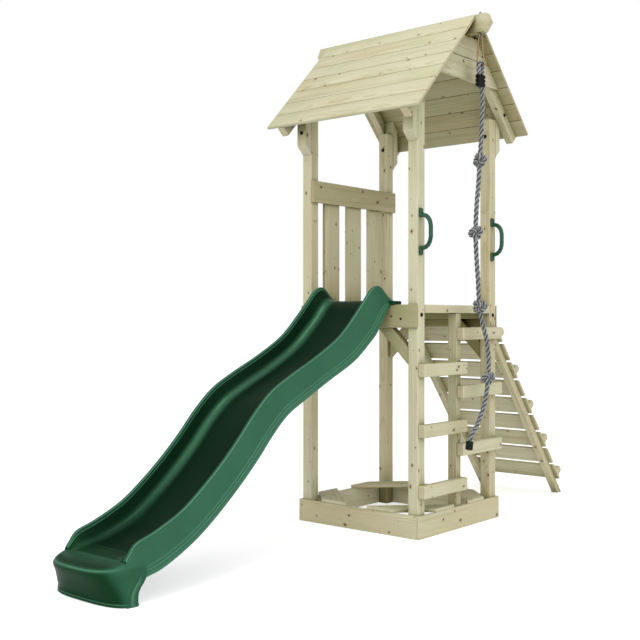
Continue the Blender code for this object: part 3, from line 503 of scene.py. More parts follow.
SLIDE_GREEN = slide_plastic()
GRIP_GREEN = moulded_plastic("grip_green", (rgb(7, 80, 50), rgb(5, 68, 42)), 0.14, 900.0, 0.0001)
BLACK = moulded_plastic("black_skin", (rgb(7, 7, 8), rgb(4, 4, 5)), 0.46, 700.0, 0.0004, 0.25)
BRASS = metal("brass_wire", rgb(178, 152, 108), rgb(138, 108, 74), 0.30)
ZINC = metal("zinc_plate", rgb(150, 152, 148), rgb(110, 112, 110), 0.38)
ROPE_YARN = rope_fibre("rope_yarn", rgb(200, 203, 200), rgb(116, 120, 119))


# Camera, floor and light

WHITE = (1, 1, 1, 1)
FLOOR_GREYS = (rgb(226, 226, 226), rgb(230, 230, 230))
FLOOR_SIZE = 60.0
FLOOR_SINK = 0.0005
# The floor's own light, for the camera and for everything else
FLOOR_GLOW = 0.60
FLOOR_BOUNCE = 0.22
# Strength of the studio's walls behind the object and in front of it, and where one turns into
# the other: the cosine of the angle from the front
FILL_BACK = 0.34
FILL_FRONT = 1.46
FILL_TURNS = (-0.55, 0.75)
FRONT = Vector((-0.78, -0.60, -0.14)).normalized()
ROOM_COLOUR = (0.97, 0.985, 1.0, 1)
# Name, place, what it points at, diameter, power and colour of each lamp, in the shared frame
LAMPS = (
    ("key", (-4.5, -2.5, 6.5), (0.2, 0.0, 1.3), 3.0, 20.0, (1.0, 0.98, 0.94)),
    ("top", (-1.3, -1.7, 8.0), (-0.8, 0.0, 0.8), 1.9, 80.0, (1.0, 1.0, 1.0)),
)


def make_camera():
    """The photograph's camera, with colours shown plainly."""
    data = bpy.data.cameras.new("camera")
    data.sensor_width = SENSOR
    data.lens = CAMERA_LENS
    data.clip_end = 100
    camera = new_object("camera", data)
    camera.location = shared(CAMERA_AT)
    camera.rotation_euler = [math.radians(angle) for angle in CAMERA_TURN]
    bpy.context.scene.camera = camera
    bpy.context.scene.view_settings.view_transform = "Standard"


def floor_paint():
    """A pale studio floor with a faint mottle, lifted to white where nothing shades it."""
    m = Paint("studio_floor")
    m.surface("Base Color", m.mix(m.noise(m.place["Object"], 3.0), *FLOOR_GREYS))
    m.surface("Roughness", 0.9)
    m.surface("Specular IOR Level", 0.1)
    m.surface("Emission Color", WHITE)
    seen = m.add("ShaderNodeLightPath").outputs["Is Camera Ray"]
    m.surface("Emission Strength", m.plus(m.times(seen, FLOOR_GLOW - FLOOR_BOUNCE), FLOOR_BOUNCE))
    return m.material


def make_stage():
    """A wide plain floor."""
    corners = [(x * FLOOR_SIZE, y * FLOOR_SIZE, 0) for x, y in ((-1, -1), (1, -1), (1, 1), (-1, 1))]
    floor = new_object("floor", mesh_of("floor", corners, [(0, 1, 2, 3)]))
    floor.data.materials.append(floor_paint())
    floor.location.z = -FLOOR_SINK


def make_world():
    """White where the camera sees it. For the light, a room that is brighter in front."""
    world = bpy.data.worlds.new("studio")
    bpy.context.scene.world = world
    world.use_nodes = True
    world.node_tree.nodes.clear()
    w = Nodes(world.node_tree)
    sockets = {0: w.place["Generated"], 1: FRONT}
    facing = w.add("ShaderNodeVectorMath", sockets, operation="DOT_PRODUCT").outputs["Value"]
    strength = w.spread(facing, *FILL_TURNS, FILL_BACK, FILL_FRONT)
    room = w.add("ShaderNodeBackground", {"Color": ROOM_COLOUR, "Strength": strength})
    seen = w.add("ShaderNodeBackground", {"Color": WHITE})
    camera_ray = w.add("ShaderNodeLightPath").outputs["Is Camera Ray"]
    mix = w.add("ShaderNodeMixShader", {0: camera_ray, 1: room.outputs[0], 2: seen.outputs[0]})
    w.add("ShaderNodeOutputWorld", {"Surface": mix.outputs[0]})


def make_lights():
    """Two soft round lamps, from the camera's side and from above."""
    for name, at, toward, size, power, colour in LAMPS:
        data = bpy.data.lights.new(name, "AREA")
        data.shape = "DISK"
        data.size = size
        data.energy = power
        data.color = colour
        light = new_object(name, data)
        light.location = at
        light.rotation_euler = (Vector(toward) - Vector(at)).to_track_quat("-Z", "Y").to_euler()


# Timber

# Edges that turn by more than this many degrees stay sharp
SHARP = 40
BOARD_SHARP = 25
BOARD_EDGE = 0.0022
PLANED_EDGE = 0.0018
PLANED_ANGLE = 50

# Roof, as the part has it
EAVE_OUT = 0.170
EAVE_HEIGHT = 2.185
RIDGE_TOP = 2.738
RIDGE_THICK = 0.045
ROOF_LEAN = math.atan2(RIDGE_TOP - EAVE_HEIGHT, LENGTH / 2 - RIDGE_THICK / 2 + EAVE_OUT)
RAMP_LEAN = math.radians(50.9)

# Direction of the grain of the carried timbers whose names start like this
DIAGONAL = math.sqrt(0.5)
UP_FROM_SLIDE = (math.cos(ROOF_LEAN), 0, math.sin(ROOF_LEAN))
UP_FROM_RAMP = (-math.cos(ROOF_LEAN), 0, math.sin(ROOF_LEAN))
GRAINS = (
    (Z_AXIS, ("post", "ladder_mid", "cleat")),
    (X_AXIS, ("base_board_ladder", "base_board_guard", "rung")),
    (Y_AXIS, ("base_board_slide", "base_board_ramp", "side_beam", "ridge", "ramp_slat")),
    ((-math.cos(RAMP_LEAN), 0, math.sin(RAMP_LEAN)), ("stringer",)),
    (UP_FROM_SLIDE, ("rafter_ladder_slide", "rafter_guard_slide")),
    (UP_FROM_RAMP, ("rafter_ladder_ramp", "rafter_guard_ramp")),
    ((DIAGONAL, -DIAGONAL, 0), ("seat_ladder_slide", "seat_guard_ramp")),
    ((DIAGONAL, DIAGONAL, 0), ("seat_guard_slide", "seat_ladder_ramp")),
    ((0, DIAGONAL, DIAGONAL), ("brace_ladder",)),
    ((0, -DIAGONAL, DIAGONAL), ("brace_guard",)),
)
# These are less greenish than the rest
LESS_GREEN = ("post", "ladder_mid", "rung")
LESS_TINT = 0.35

# First seed of each group of boards
TIMBER_SEED = 100
DECK_SEED = 300
BEARER_SEED = 316
RAIL_SEED = 328
GUARD_SEED = 340
BALUSTER_SEED = 350
CLADDING_SEEDS = {"slide": 400, "ramp": 405}
INFILL_SEEDS = {"ladder": 525, "guard": 524}


def dress(obj, material, sharp=None):
    """One material all over, and smooth shading if an angle for sharp edges is given."""
    obj.data.materials.clear()
    obj.data.materials.append(material)
    if sharp is None:
        obj.data.shade_flat()
    else:
        obj.data.shade_smooth()
        obj.data.set_sharp_from_angle(angle=math.radians(sharp))


def middle_of(obj):
    """The middle of the object's box."""
    corners = [Vector(corner) for corner in obj.bound_box]
    return sum(corners, Vector()) / len(corners)


def soften(obj):
    """Planed edges, so that they catch the light."""
    edge = obj.modifiers.new("planed_edges", "BEVEL")
    edge.width = PLANED_EDGE
    edge.segments = 2
    edge.limit_method = "ANGLE"
    edge.angle_limit = math.radians(PLANED_ANGLE)


def dress_timber():
    """Grain along each carried timber, with its own seed."""
    for index, (name, obj) in enumerate(sorted(NODES.items())):
        for grain, starts in GRAINS:
            if name.startswith(starts):
                tint = LESS_TINT if name.startswith(LESS_GREEN) else TINT
                seed = TIMBER_SEED + index
                dress(obj, wood(f"wood_{name}", Vector(grain), seed, middle_of(obj), tint))
                soften(obj)


def plank(name, size, centre, turn, grain, seed, tint=TINT, edge=BOARD_EDGE):
    """A sawn board of this size round this centre in the tower's frame, turned by this matrix."""
    work = bmesh.new()
    bmesh.ops.create_cube(work, size=1.0)
    bmesh.ops.scale(work, verts=work.verts, vec=size)
    edges = list(work.edges)
    bmesh.ops.bevel(work, geom=edges, offset=edge, segments=2, affect="EDGES", profile=0.6)
    bmesh.ops.rotate(work, verts=work.verts, matrix=turn)
    bmesh.ops.translate(work, verts=work.verts, vec=shared(centre))
    obj = new_object(name, mesh_from(name, work))
    dress(obj, wood(f"wood_{name}", turn @ grain, seed, shared(centre), tint), BOARD_SHARP)
    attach(obj, "tower")
    return obj


def board(name, low, high, grain, seed):
    """A board between these two corners in the tower's frame."""
    size = Vector(high) - Vector(low)
    centre = (Vector(high) + Vector(low)) / 2
    return plank(name, size, centre, Matrix.Identity(3), grain, seed)


# Platform and balustrade

DECK_TOP = 1.200
DECK_THICK = 0.016
DECK_BOARDS = 6
DECK_SEAM = 0.004
RAIL = 0.043
RAIL_BOTTOM = 1.157
RAIL_DEPTH = 0.0655
RAIL_UNDER = 0.0004
BEARER_BOTTOM = 1.127
GUARD_BOTTOM = 1.774
GUARD_TOP = 1.894
GUARD_THICK = 0.018
BALUSTER = 0.130
BALUSTER_SPACE = 0.072
BALUSTER_UNDER = 0.012
BALUSTERS = 3


def make_deck():
    """Six boards on two bearers, with a rail at the front and at the back."""
    first = POST + GAP
    last = WIDTH - first
    pitch = (last - first + DECK_SEAM) / DECK_BOARDS
    under = DECK_TOP - DECK_THICK
    top = DECK_TOP - RAIL_UNDER
    parts = []
    for index in range(DECK_BOARDS):
        y = first + index * pitch
        high = (LENGTH, y + pitch - DECK_SEAM, DECK_TOP)
        name = f"deck_board_{index + 1}"
        parts.append(board(name, (0.0, y, under), high, X_AXIS, DECK_SEED + index))
    for index, (side, x) in enumerate((("slide", 0.0), ("ramp", LENGTH - RAIL))):
        low, high = (x, first, BEARER_BOTTOM), (x + RAIL, last, under)
        parts.append(board(f"bearer_{side}", low, high, Y_AXIS, BEARER_SEED + index))
    for index, (side, y) in enumerate((("ladder", 0.0), ("guard", WIDTH - RAIL_DEPTH))):
        low, high = (first, y, RAIL_BOTTOM), (LENGTH - first, y + RAIL_DEPTH, top)
        parts.append(board(f"deck_rail_{side}", low, high, X_AXIS, RAIL_SEED + index))
    for part in parts:
        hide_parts("deck")


def make_balustrade():
    """A guard rail and three upright boards behind it."""
    face = WIDTH - POST - GAP
    low = (0.0, face - GUARD_THICK, GUARD_BOTTOM)
    parts = [board("guard_rail", low, (LENGTH, face, GUARD_TOP), X_AXIS, GUARD_SEED)]
    for index in range(BALUSTERS):
        x = (LENGTH - BALUSTER) / 2 + (index - 1) * (BALUSTER + BALUSTER_SPACE)
        low = (x, face, DECK_TOP + GAP)
        high = (x + BALUSTER, face + GUARD_THICK, GUARD_TOP - BALUSTER_UNDER)
        parts.append(board(f"baluster_{index + 1}", low, high, Z_AXIS, BALUSTER_SEED + index))
    for part in parts:
        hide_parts("balustrade")


# Roof

GABLE_OUT = 0.116
CLADDING = 0.016
CLADDING_BOARDS = 7
CLADDING_SEAM = 0.0016
CLADDING_EDGE = 0.0034
CLADDING_TINT = 0.45
INFILL_TOP = RIDGE_TOP - 0.100
INFILL_BOTTOM = RIDGE_TOP - 0.335
INFILL_THICK = 0.015
INFILL_SEAM = 0.0012
INFILL_EDGE = 0.0015
RAFTER_THICK = 0.043


def make_cladding():
    """Seven tongued boards a slope, each with a chamfer at its joints."""
    top_x = LENGTH / 2 - RIDGE_THICK / 2 - GAP
    width = (top_x + EAVE_OUT) / math.cos(ROOF_LEAN) / CLADDING_BOARDS
    size = (width - CLADDING_SEAM, WIDTH + 2 * GABLE_OUT, CLADDING)
    for side, sign, eave_x in (("slide", 1, -EAVE_OUT), ("ramp", -1, LENGTH + EAVE_OUT)):
        turn = Matrix.Rotation(-sign * ROOF_LEAN, 3, "Y")
        along = turn @ Vector((sign, 0, 0))
        inward = turn @ Vector((0, 0, -1))
        start = Vector((eave_x, WIDTH / 2, EAVE_HEIGHT)) + inward * CLADDING / 2
        for index in range(CLADDING_BOARDS):
            centre = start + along * (index + 0.5) * width
            name = f"roof_board_{side}_{index + 1}"
            seed = CLADDING_SEEDS[side] + 10 * index
            part = plank(name, size, centre, turn, Y_AXIS, seed, CLADDING_TINT, CLADDING_EDGE)
            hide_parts(f"cladding_{side}")


def prism(name, outline, low, high, grain, seed):
    """A board with this outline in x and z, from one y to the other."""
    work = bmesh.new()
    face = work.faces.new([work.verts.new(shared((x, low, z))) for x, z in outline])
    grown = bmesh.ops.extrude_face_region(work, geom=[face])
    moved = [item for item in grown["geom"] if isinstance(item, bmesh.types.BMVert)]
    bmesh.ops.translate(work, verts=moved, vec=(0, high - low, 0))
    bmesh.ops.recalc_face_normals(work, faces=work.faces)
    edges = list(work.edges)
    bmesh.ops.bevel(work, geom=edges, offset=INFILL_EDGE, segments=2, affect="EDGES")
    obj = new_object(name, mesh_from(name, work))
    centre = shared(((outline[0][0] + outline[1][0]) / 2, low, outline[0][1]))
    dress(obj, wood(f"wood_{name}", grain, seed, centre))
    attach(obj, "tower")
    return obj


def make_infills():
    """Two boards in each gable, trimmed to the slope."""

    def edge(z):
        under = z + CLADDING / math.cos(ROOF_LEAN) - EAVE_HEIGHT
        return under / math.tan(ROOF_LEAN) - EAVE_OUT + 2 * GAP

    middle = (INFILL_TOP + INFILL_BOTTOM) / 2
    bands = ((INFILL_BOTTOM, middle - INFILL_SEAM), (middle + INFILL_SEAM, INFILL_TOP))
    near = -RAFTER_THICK - 2 * GAP - INFILL_THICK
    for side, y in (("ladder", near), ("guard", WIDTH - near - INFILL_THICK)):
        for index, (low, high) in enumerate(bands):
            left = [(edge(low), low), (edge(high), high)]
            right = [(LENGTH - x, z) for x, z in left]
            name = f"infill_{side}_{index + 1}"
            seed = INFILL_SEEDS[side] + index
            outline = [left[0], *right, left[1]]
            part = prism(name, outline, y, y + INFILL_THICK, X_AXIS, seed)
            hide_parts(f"gable_infill_{side}")


# Rope

BOLT_X = LENGTH / 2
BOLT_Y = -0.134
ROPE = 0.0135
ROPE_STRANDS = 3
ROPE_LAY = 0.095
ROPE_STEP = 0.006
STRAND_OFF = 0.0071
STRAND_HALF = 0.0063
STRAND_SIDES = 10
YARN_LENGTH = 6 * STRAND_HALF
WIRE = 0.004
LINK_BOTTOM = 2.468
# The clamp, and the rope's other run through it and over the link
CLAMP_TOP = 2.420
CLAMP_BOTTOM = 2.356
CLAMP_STRAND = 0.0141
LOOP_HALF = ROPE + WIRE + GAP
LOOP_PINCH = 0.0010
LOOP_FOOT = 0.016
LOOP_START = 0.004
LOOP_END = 0.012
LOOP_TURNS = 12
LOOP_LAY = 0.070
FINE_STEP = 0.004
# Route of the hanging rope, downwards, as x from the bolt and drop below the clamp
ROPE_ROUTE = (
    (0.0130, 0.000),
    (0.0170, 0.056),
    (0.0170, 0.142),
    (0.0060, 0.293),
    (-0.0060, 0.387),
    (-0.0180, 0.506),
    (-0.0320, 0.593),
    (-0.0430, 0.686),
    (-0.0480, 0.779),
    (-0.0390, 0.906),
    (-0.0240, 1.025),
    (-0.0100, 1.163),
    (0.0200, 1.246),
    (0.0570, 1.327),
    (0.0790, 1.396),
    (0.0860, 1.476),
    (0.0770, 1.550),
    (0.0670, 1.610),
    (0.0430, 1.680),
    (0.0040, 1.744),
    (-0.0460, 1.804),
    (-0.0850, 1.834),
    (-0.1040, 1.863),
    (-0.1130, 1.909),
)
KNOT_DROPS = (0.387, 0.779, 1.163, 1.550)
# Each knot's turn from the camera in degrees, then the size, tilt and depth of its trefoil
KNOT_TURNS = (-34, 22, -12, 40)
KNOT_RING = 0.0196
KNOT_TUBE = 0.0108
KNOT_TILT = 0.25
KNOT_DEPTH = 1.15
KNOT_TIGHT = 0.95
KNOT_LAY = 0.070
KNOT_POINTS = 110
# The clamp's sleeve, and each rib from its foot to the next: height share and how far inside
SLEEVE_HALF_X = 0.0325
SLEEVE_HALF_Y = 0.018
SLEEVE_SQUARENESS = 0.5
SLEEVE_SIDES = 32
SLEEVE_RIBS = 3
RIB_PROFILE = (
    (0.02, 0.0050),
    (0.10, 0.0050),
    (0.20, 0.0008),
    (0.30, 0.0002),
    (0.72, 0.0002),
    (0.82, 0.0008),
    (0.92, 0.0050),
    (0.98, 0.0050),
)


def smooth_line(points, steps):
    """More points on a smooth curve through these ones."""
    line = [Vector(point) for point in points]
    ends = [line[0] * 2 - line[1]] + line + [line[-1] * 2 - line[-2]]
    found = []
    for index in range(1, len(ends) - 2):
        before, start, end, after = ends[index - 1 : index + 3]
        once = end - before
        twice = 2 * before - 5 * start + 4 * end - after
        thrice = 3 * start - before - 3 * end + after
        for step in range(steps):
            t = step / steps
            found.append(0.5 * (2 * start + once * t + twice * t**2 + thrice * t**3))
    found.append(line[-1])
    return found


def distances(points):
    """How far along the line each of its points is."""
    found = [0.0]
    for one, other in zip(points, points[1:]):
        found.append(found[-1] + (other - one).length)
    return found


def even_line(points, step):
    """The same line with points this far apart."""
    lengths = distances(points)
    count = max(2, round(lengths[-1] / step))
    found, index = [], 0
    for number in range(count + 1):
        goal = lengths[-1] * number / count
        while index < len(points) - 2 and lengths[index + 1] < goal:
            index += 1
        part = (goal - lengths[index]) / (lengths[index + 1] - lengths[index])
        found.append(points[index].lerp(points[index + 1], part))
    return found


def directions(points):
    """The line's direction at each point."""
    return [
        (points[min(index + 1, len(points) - 1)] - points[max(index - 1, 0)]).normalized()
        for index in range(len(points))
    ]


def side_axes(points):
    """Two sideways axes at each point, turned as little as possible from one to the next."""
    axes = []
    side = None
    for along in directions(points):
        side = side or along.orthogonal().normalized()
        side = (side - along * side.dot(along)).normalized()
        axes.append((side, along.cross(side)))
    return axes


def laid_rope(name, points, lay=ROPE_LAY, tight=1.0):
    """A rope of three strands laid round this line, closed at its ends."""
    verts, faces, uvs = [], [], []
    gone = distances(points)
    axes = side_axes(points)
    around = [math.tau * corner / STRAND_SIDES for corner in range(STRAND_SIDES)]
    for strand in range(ROPE_STRANDS):
        first = len(verts)
        centres, outwards = [], []
        for point, (side, across), distance in zip(points, axes, gone):
            angle = math.tau * (distance / lay + strand / ROPE_STRANDS)
            outwards.append(side * math.cos(angle) + across * math.sin(angle))
            centres.append(point + outwards[-1] * STRAND_OFF * tight)
        for centre, outward, along in zip(centres, outwards, directions(centres)):
            side = (outward - along * outward.dot(along)).normalized()
            across = along.cross(side)
            for turn in around:
                out = side * math.cos(turn) + across * math.sin(turn)
                verts.append(centre + out * STRAND_HALF * tight)
        faces += tube_faces(first, len(points), STRAND_SIDES)
        for before, after in zip(gone, gone[1:]):
            u0, u1 = before / YARN_LENGTH, after / YARN_LENGTH
            for corner in range(STRAND_SIDES):
                v0, v1 = corner / STRAND_SIDES, (corner + 1) / STRAND_SIDES
                uvs += [(u0, v0), (u0, v1), (u1, v1), (u1, v0)]
        uvs += [(0.0, corner / STRAND_SIDES) for corner in range(STRAND_SIDES)] * 2
    obj = new_object(name, mesh_of(name, verts, faces))
    layer = obj.data.uv_layers.new(name="yarn")
    for corner, pair in zip(layer.data, uvs):
        corner.uv = pair
    obj.data.shade_smooth()
    obj.data.materials.append(ROPE_YARN)
    return obj


def in_rope_plane(x, z, depth=0.0):
    """A point in the upright plane through the eye bolt, as x from the bolt and height."""
    return shared((BOLT_X + x, BOLT_Y + depth, z))


def loop_line():
    """The rope's other run: up through the clamp, over the link's bottom bar and down again."""
    foot_x, foot_z = LOOP_HALF - LOOP_PINCH, LINK_BOTTOM - LOOP_FOOT
    angles = [math.pi * (1 - step / LOOP_TURNS) for step in range(LOOP_TURNS + 1)]
    route = [(-CLAMP_STRAND, CLAMP_BOTTOM + LOOP_START), (-CLAMP_STRAND, CLAMP_TOP)]
    route.append((-foot_x, foot_z))
    for angle in angles:
        route.append((LOOP_HALF * math.cos(angle), LINK_BOTTOM + LOOP_HALF * math.sin(angle)))
    route.append((foot_x, foot_z))
    route += [(CLAMP_STRAND, CLAMP_TOP), (LOOP_END, CLAMP_BOTTOM)]
    return even_line(smooth_line([in_rope_plane(x, z) for x, z in route], 4), FINE_STEP)


def make_knot(index, line):
    """An overhand knot drawn tight: a trefoil of the rope's own thickness round the rope."""
    height = CLAMP_BOTTOM - KNOT_DROPS[index]
    spot = min(range(len(line)), key=lambda number: abs(line[number].z - height))
    centre = line[spot]
    along = (line[spot + 1] - line[spot - 1]).normalized()
    view = (shared(CAMERA_AT) - centre).normalized()
    view = Matrix.Rotation(math.radians(KNOT_TURNS[index]), 3, "Z") @ view
    view = (view - along * view.dot(along)).normalized()
    view = (view + along * KNOT_TILT).normalized()
    side = view.cross(along).normalized()
    up = side.cross(view)
    start = math.pi / 3 * (index % 2)
    points = []
    for number in range(KNOT_POINTS + 1):
        turn = math.tau * number / KNOT_POINTS
        reach = KNOT_RING + KNOT_TUBE * math.cos(3 * turn)
        angle = 2 * turn + start
        across = side * math.cos(angle) + up * math.sin(angle)
        depth = KNOT_TUBE * KNOT_DEPTH * math.sin(3 * turn)
        points.append(centre + across * reach + view * depth)
    return laid_rope(f"knot_{index + 1}", even_line(points, FINE_STEP), KNOT_LAY, KNOT_TIGHT)


def make_clamp():
    """A black sleeve with ribs round it, over the two runs of rope."""
    rings = []
    for rib in range(SLEEVE_RIBS):
        for share, inset in RIB_PROFILE:
            height = (CLAMP_TOP - CLAMP_BOTTOM) * (rib + share) / SLEEVE_RIBS
            rings.append((CLAMP_BOTTOM + height, inset))
    verts = []
    for z, inset in rings:
        for corner in range(SLEEVE_SIDES):
            angle = math.tau * corner / SLEEVE_SIDES
            cos, sin = math.cos(angle), math.sin(angle)
            x = math.copysign(abs(cos) ** SLEEVE_SQUARENESS, cos) * (SLEEVE_HALF_X - inset)
            y = math.copysign(abs(sin) ** SLEEVE_SQUARENESS, sin) * (SLEEVE_HALF_Y - inset)
            verts.append(in_rope_plane(x, z, y))
    faces = tube_faces(0, len(rings), SLEEVE_SIDES)
    obj = new_object("clamp_sleeve", mesh_of("clamp_sleeve", verts, faces))
    dress(obj, BLACK, SHARP)
    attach(obj, "rope")
    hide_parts("rope_clamp")
    return obj


def make_rope():
    """The hanging rope, its loop over the link, its knots and its clamp."""
    route = [in_rope_plane(x, CLAMP_BOTTOM - drop) for x, drop in ROPE_ROUTE]
    smooth = smooth_line(route, 6)
    line = even_line(smooth, ROPE_STEP)
    rope = laid_rope("laid_rope", line)
    pieces = [laid_rope("rope_eye", loop_line(), LOOP_LAY)]
    pieces += [make_knot(index, line) for index in range(len(KNOT_DROPS))]
    for piece in [rope] + pieces:
        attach(piece, "rope")
        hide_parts("rope")
    clamp = make_clamp()


# Slide

# Its section as half widths from the flange to the wall's foot, with heights as shares
FLANGE_HALF = 0.230
CREASE_HALF = 0.222
RIM_OUTER_HALF = 0.198
RIM_INNER_HALF = 0.1825
WALL_FOOT_HALF = 0.158
FLANGE_BAND = 0.27
FLANGE_LEAN = 0.001
FLANGE_STEP = 0.09
# Near the foot the flange sinks into the foot's side
FLANGE_SINK = 0.010
FLANGE_SINKS = (1.620, 1.675)
SKIN = 0.004
# Rounding of the section's corners, from the flange to the channel's floor, and the largest share
# of a side that it takes
CORNER_ROUNDS = (0.004, 0.004, 0.0050, 0.0045, 0.0030, 0.052)
ROUND_MOST = 0.45
ROUND_STEPS = 8
RIM_LIP = 0.014
RIM_LIP_LEAN = 0.0015
RIM_LIP_MOST = 0.3
SECTION_STEPS = 6
# At each of those corners: how strong its painted highlight is, and the channel's painted shade
# where the corner starts and where it ends
CORNER_MARKS = (
    (0.50, 0.0, 0.0),
    (0.38, 0.0, 0.0),
    (0.80, 0.0, 0.30),
    (0.85, 0.30, 0.45),
    (0.90, 0.45, 1.0),
    (0.46, 1.0, 1.0),
)
# Painted highlight and extra gloss on the flange's bottom edge
FLANGE_HIGHLIGHT = 0.4
# How much of the channel's painted shade and how much painted highlight the lip gets
LIP_MARKS = (0.7, 0.0)
# The painted highlight streak along the channel's fillet is fainter from here to here
HIGHLIGHT_STREAK_FADES = (1.05, 1.50)
HIGHLIGHT_STREAK_LEFT = 0.30
# The foot's side: how far ahead its first points are, and the band along its back edge
FOOT_SIDE = (0.0, 0.003, 0.014, 0.0285, 0.0300, 0.0315, 0.0330, 0.040, 0.048)
FOOT_BAND = 0.0045
FOOT_BAND_STEP = (0.0285, 0.0330)
# Painted highlight on the band's step
FOOT_BAND_HIGHLIGHT = 0.40
FOOT_BAND_TOP = (0.085, 0.125)
# The foot turns from its side to its front over these shares; its front gets the landing's painted
# shade and a stronger painted highlight than its sides
FOOT_TURN = (0.45, 0.97)
FOOT_SIDE_SHADE = 0.25
FOOT_SIDE_HIGHLIGHT = 0.2
FOOT_BACK = -1.672
FOOT_GROUND_BACK = -1.690
FOOT_HEEL = 0.048
FOOT_HEEL_RISE = (0.030, 0.118)
FOOT_HEEL_BEND = 1.6
FOOT_SQUARENESS = 3.0
FOOT_POINTS = 26
LIP_FRONT = -0.030
LIP_BACK = 0.050
LIP_HALF = 0.254
LIP_TOP = DECK_TOP + 0.019
LIP_ROUND = 0.004
# From the platform down: x and height of the rim, lean of the section in degrees,
# depth of the channel's floor under the rim, and height of the outer wall
SLIDE_SECTIONS = (
    (0.048, 1.2225, 0, 0.0010, 0.0170),
    (0.020, 1.2350, 0, 0.0135, 0.0300),
    (-0.010, 1.2545, 0, 0.0330, 0.0495),
    (-0.050, 1.2870, 8, 0.0690, 0.1085),
    (-0.090, 1.2961, 16, 0.0900, 0.1430),
    (-0.140, 1.2713, 20, 0.1000, 0.1630),
    (-0.200, 1.2130, 26, 0.1000, 0.1690),
    (-0.280, 1.1354, 36, 0.0920, 0.1580),
    (-0.396, 1.0381, 33, 0.0870, 0.1450),
    (-0.567, 0.9466, 25, 0.0850, 0.1300),
    (-0.750, 0.8654, 27, 0.0850, 0.1340),
    (-0.883, 0.7975, 33, 0.0850, 0.1340),
    (-0.995, 0.7057, 42, 0.0850, 0.1340),
    (-1.105, 0.5922, 44, 0.0850, 0.1320),
    (-1.212, 0.4935, 40, 0.0850, 0.1300),
    (-1.330, 0.3999, 36, 0.0850, 0.1300),
    (-1.440, 0.3270, 28, 0.0850, 0.1320),
    (-1.575, 0.2691, 19, 0.0750, 0.1400),
    (-1.670, 0.2380, 10, 0.0572, 0.1400),
    (-1.707, 0.1990, 5, 0.0252, 0.1150),
    (-1.724, 0.1765, 2, 0.0080, 0.0950),
)
# Foot of the slide, from the ground up: height in front and at the back, reach, half width, painted
# highlight
FOOT_RINGS = (
    (0.000, 0.000, 0.113, 0.2315, 0.0),
    (0.003, 0.003, 0.117, 0.2355, 0.1),
    (0.0105, 0.0105, 0.117, 0.2355, 0.0),
    (0.0125, 0.0125, 0.1155, 0.2350, 0.85),
    (0.0145, 0.0145, 0.1115, 0.2330, 0.0),
    (0.021, 0.021, 0.110, 0.2325, 0.0),
    (0.040, 0.040, 0.119, 0.2325, 0.0),
    (0.056, 0.056, 0.126, 0.2325, 0.0),
    (0.072, 0.072, 0.134, 0.2325, 0.0),
    (0.086, 0.087, 0.142, 0.2322, 0.0),
    (0.098, 0.099, 0.149, 0.2300, 0.0),
    (0.109, 0.110, 0.155, 0.2280, 0.0),
    (0.118, 0.120, 0.160, 0.2278, 0.0),
    (0.126, 0.131, 0.1645, 0.2260, 0.0),
    (0.133, 0.141, 0.1665, 0.2230, 0.0),
    (0.139, 0.151, 0.1662, 0.2185, 0.15),
    (0.1445, 0.160, 0.1632, 0.2138, 0.85),
    (0.149, 0.168, 0.1570, 0.2095, 0.15),
    (0.1525, 0.1765, 0.1460, 0.2040, 0.0),
    (0.155, 0.1840, 0.1330, 0.1980, 0.0),
)


def rounded(points):
    """The outline with rounded corners, and the painted highlight and the channel's painted shade
    at each of its points.
    """
    found, edges, channel_shades = [points[0]], [FLANGE_HIGHLIGHT], [0.0]
    corners = zip(points, points[1:], points[2:], CORNER_ROUNDS, CORNER_MARKS)
    for before, here, after, size, (highlight, shade_from, shade_to) in corners:
        back, ahead = before - here, after - here
        start = here + back.normalized() * min(size, ROUND_MOST * back.length)
        end = here + ahead.normalized() * min(size, ROUND_MOST * ahead.length)
        for step in range(ROUND_STEPS + 1):
            share = step / ROUND_STEPS
            found.append(start.lerp(here, share).lerp(here.lerp(end, share), share))
            edges.append(highlight * math.sin(math.pi * share) ** 2)
            channel_shades.append(shade_from + (shade_to - shade_from) * share)
    return found + [points[-1]], edges + [0.0], channel_shades + [1.0]


def slide_section(rim_x, rim_z, lean, depth, height):
    """Half of one section across the slide, as (half width, x, z) from the flange to the middle,
    and the painted highlight and the channel's painted shade at each of its points."""
    down = Vector((math.sin(lean), -math.cos(lean)))
    rim = Vector((rim_x, rim_z))
    wall = height * (1 - FLANGE_BAND)
    flange = FLANGE_HALF - FLANGE_SINK * smooth_share(-rim_x, *FLANGE_SINKS)
    corners = (
        (flange, height),
        (flange - FLANGE_LEAN, wall + FLANGE_STEP * height),
        (CREASE_HALF, wall),
        (RIM_OUTER_HALF, 0.0),
        (RIM_INNER_HALF, 0.0),
        (RIM_INNER_HALF - RIM_LIP_LEAN, min(RIM_LIP, RIM_LIP_MOST * depth)),
        (WALL_FOOT_HALF, depth),
        (0.0, depth),
    )
    outline, edges, channel_shades = rounded([Vector(corner) for corner in corners])
    return [(half, *(rim + down * drop)) for half, drop in outline], edges, channel_shades


def loft(work, rows):
    """Faces between each row of points and the next."""
    for row, following in zip(rows, rows[1:]):
        for index in range(len(row) - 1):
            work.faces.new((row[index], row[index + 1], following[index + 1], following[index]))


def mark_corners(work, marks):
    """The channel's painted shade and the painted highlight of each point, written on the corners
    of its faces.
    """
    layers = [work.loops.layers.float.new(name) for name in (CHANNEL_SHADE_LAYER, HIGHLIGHT_LAYER)]
    for face in work.faces:
        for corner in face.loops:
            for layer, mark in zip(layers, marks.get(corner.vert, LIP_MARKS)):
                corner[layer] = mark


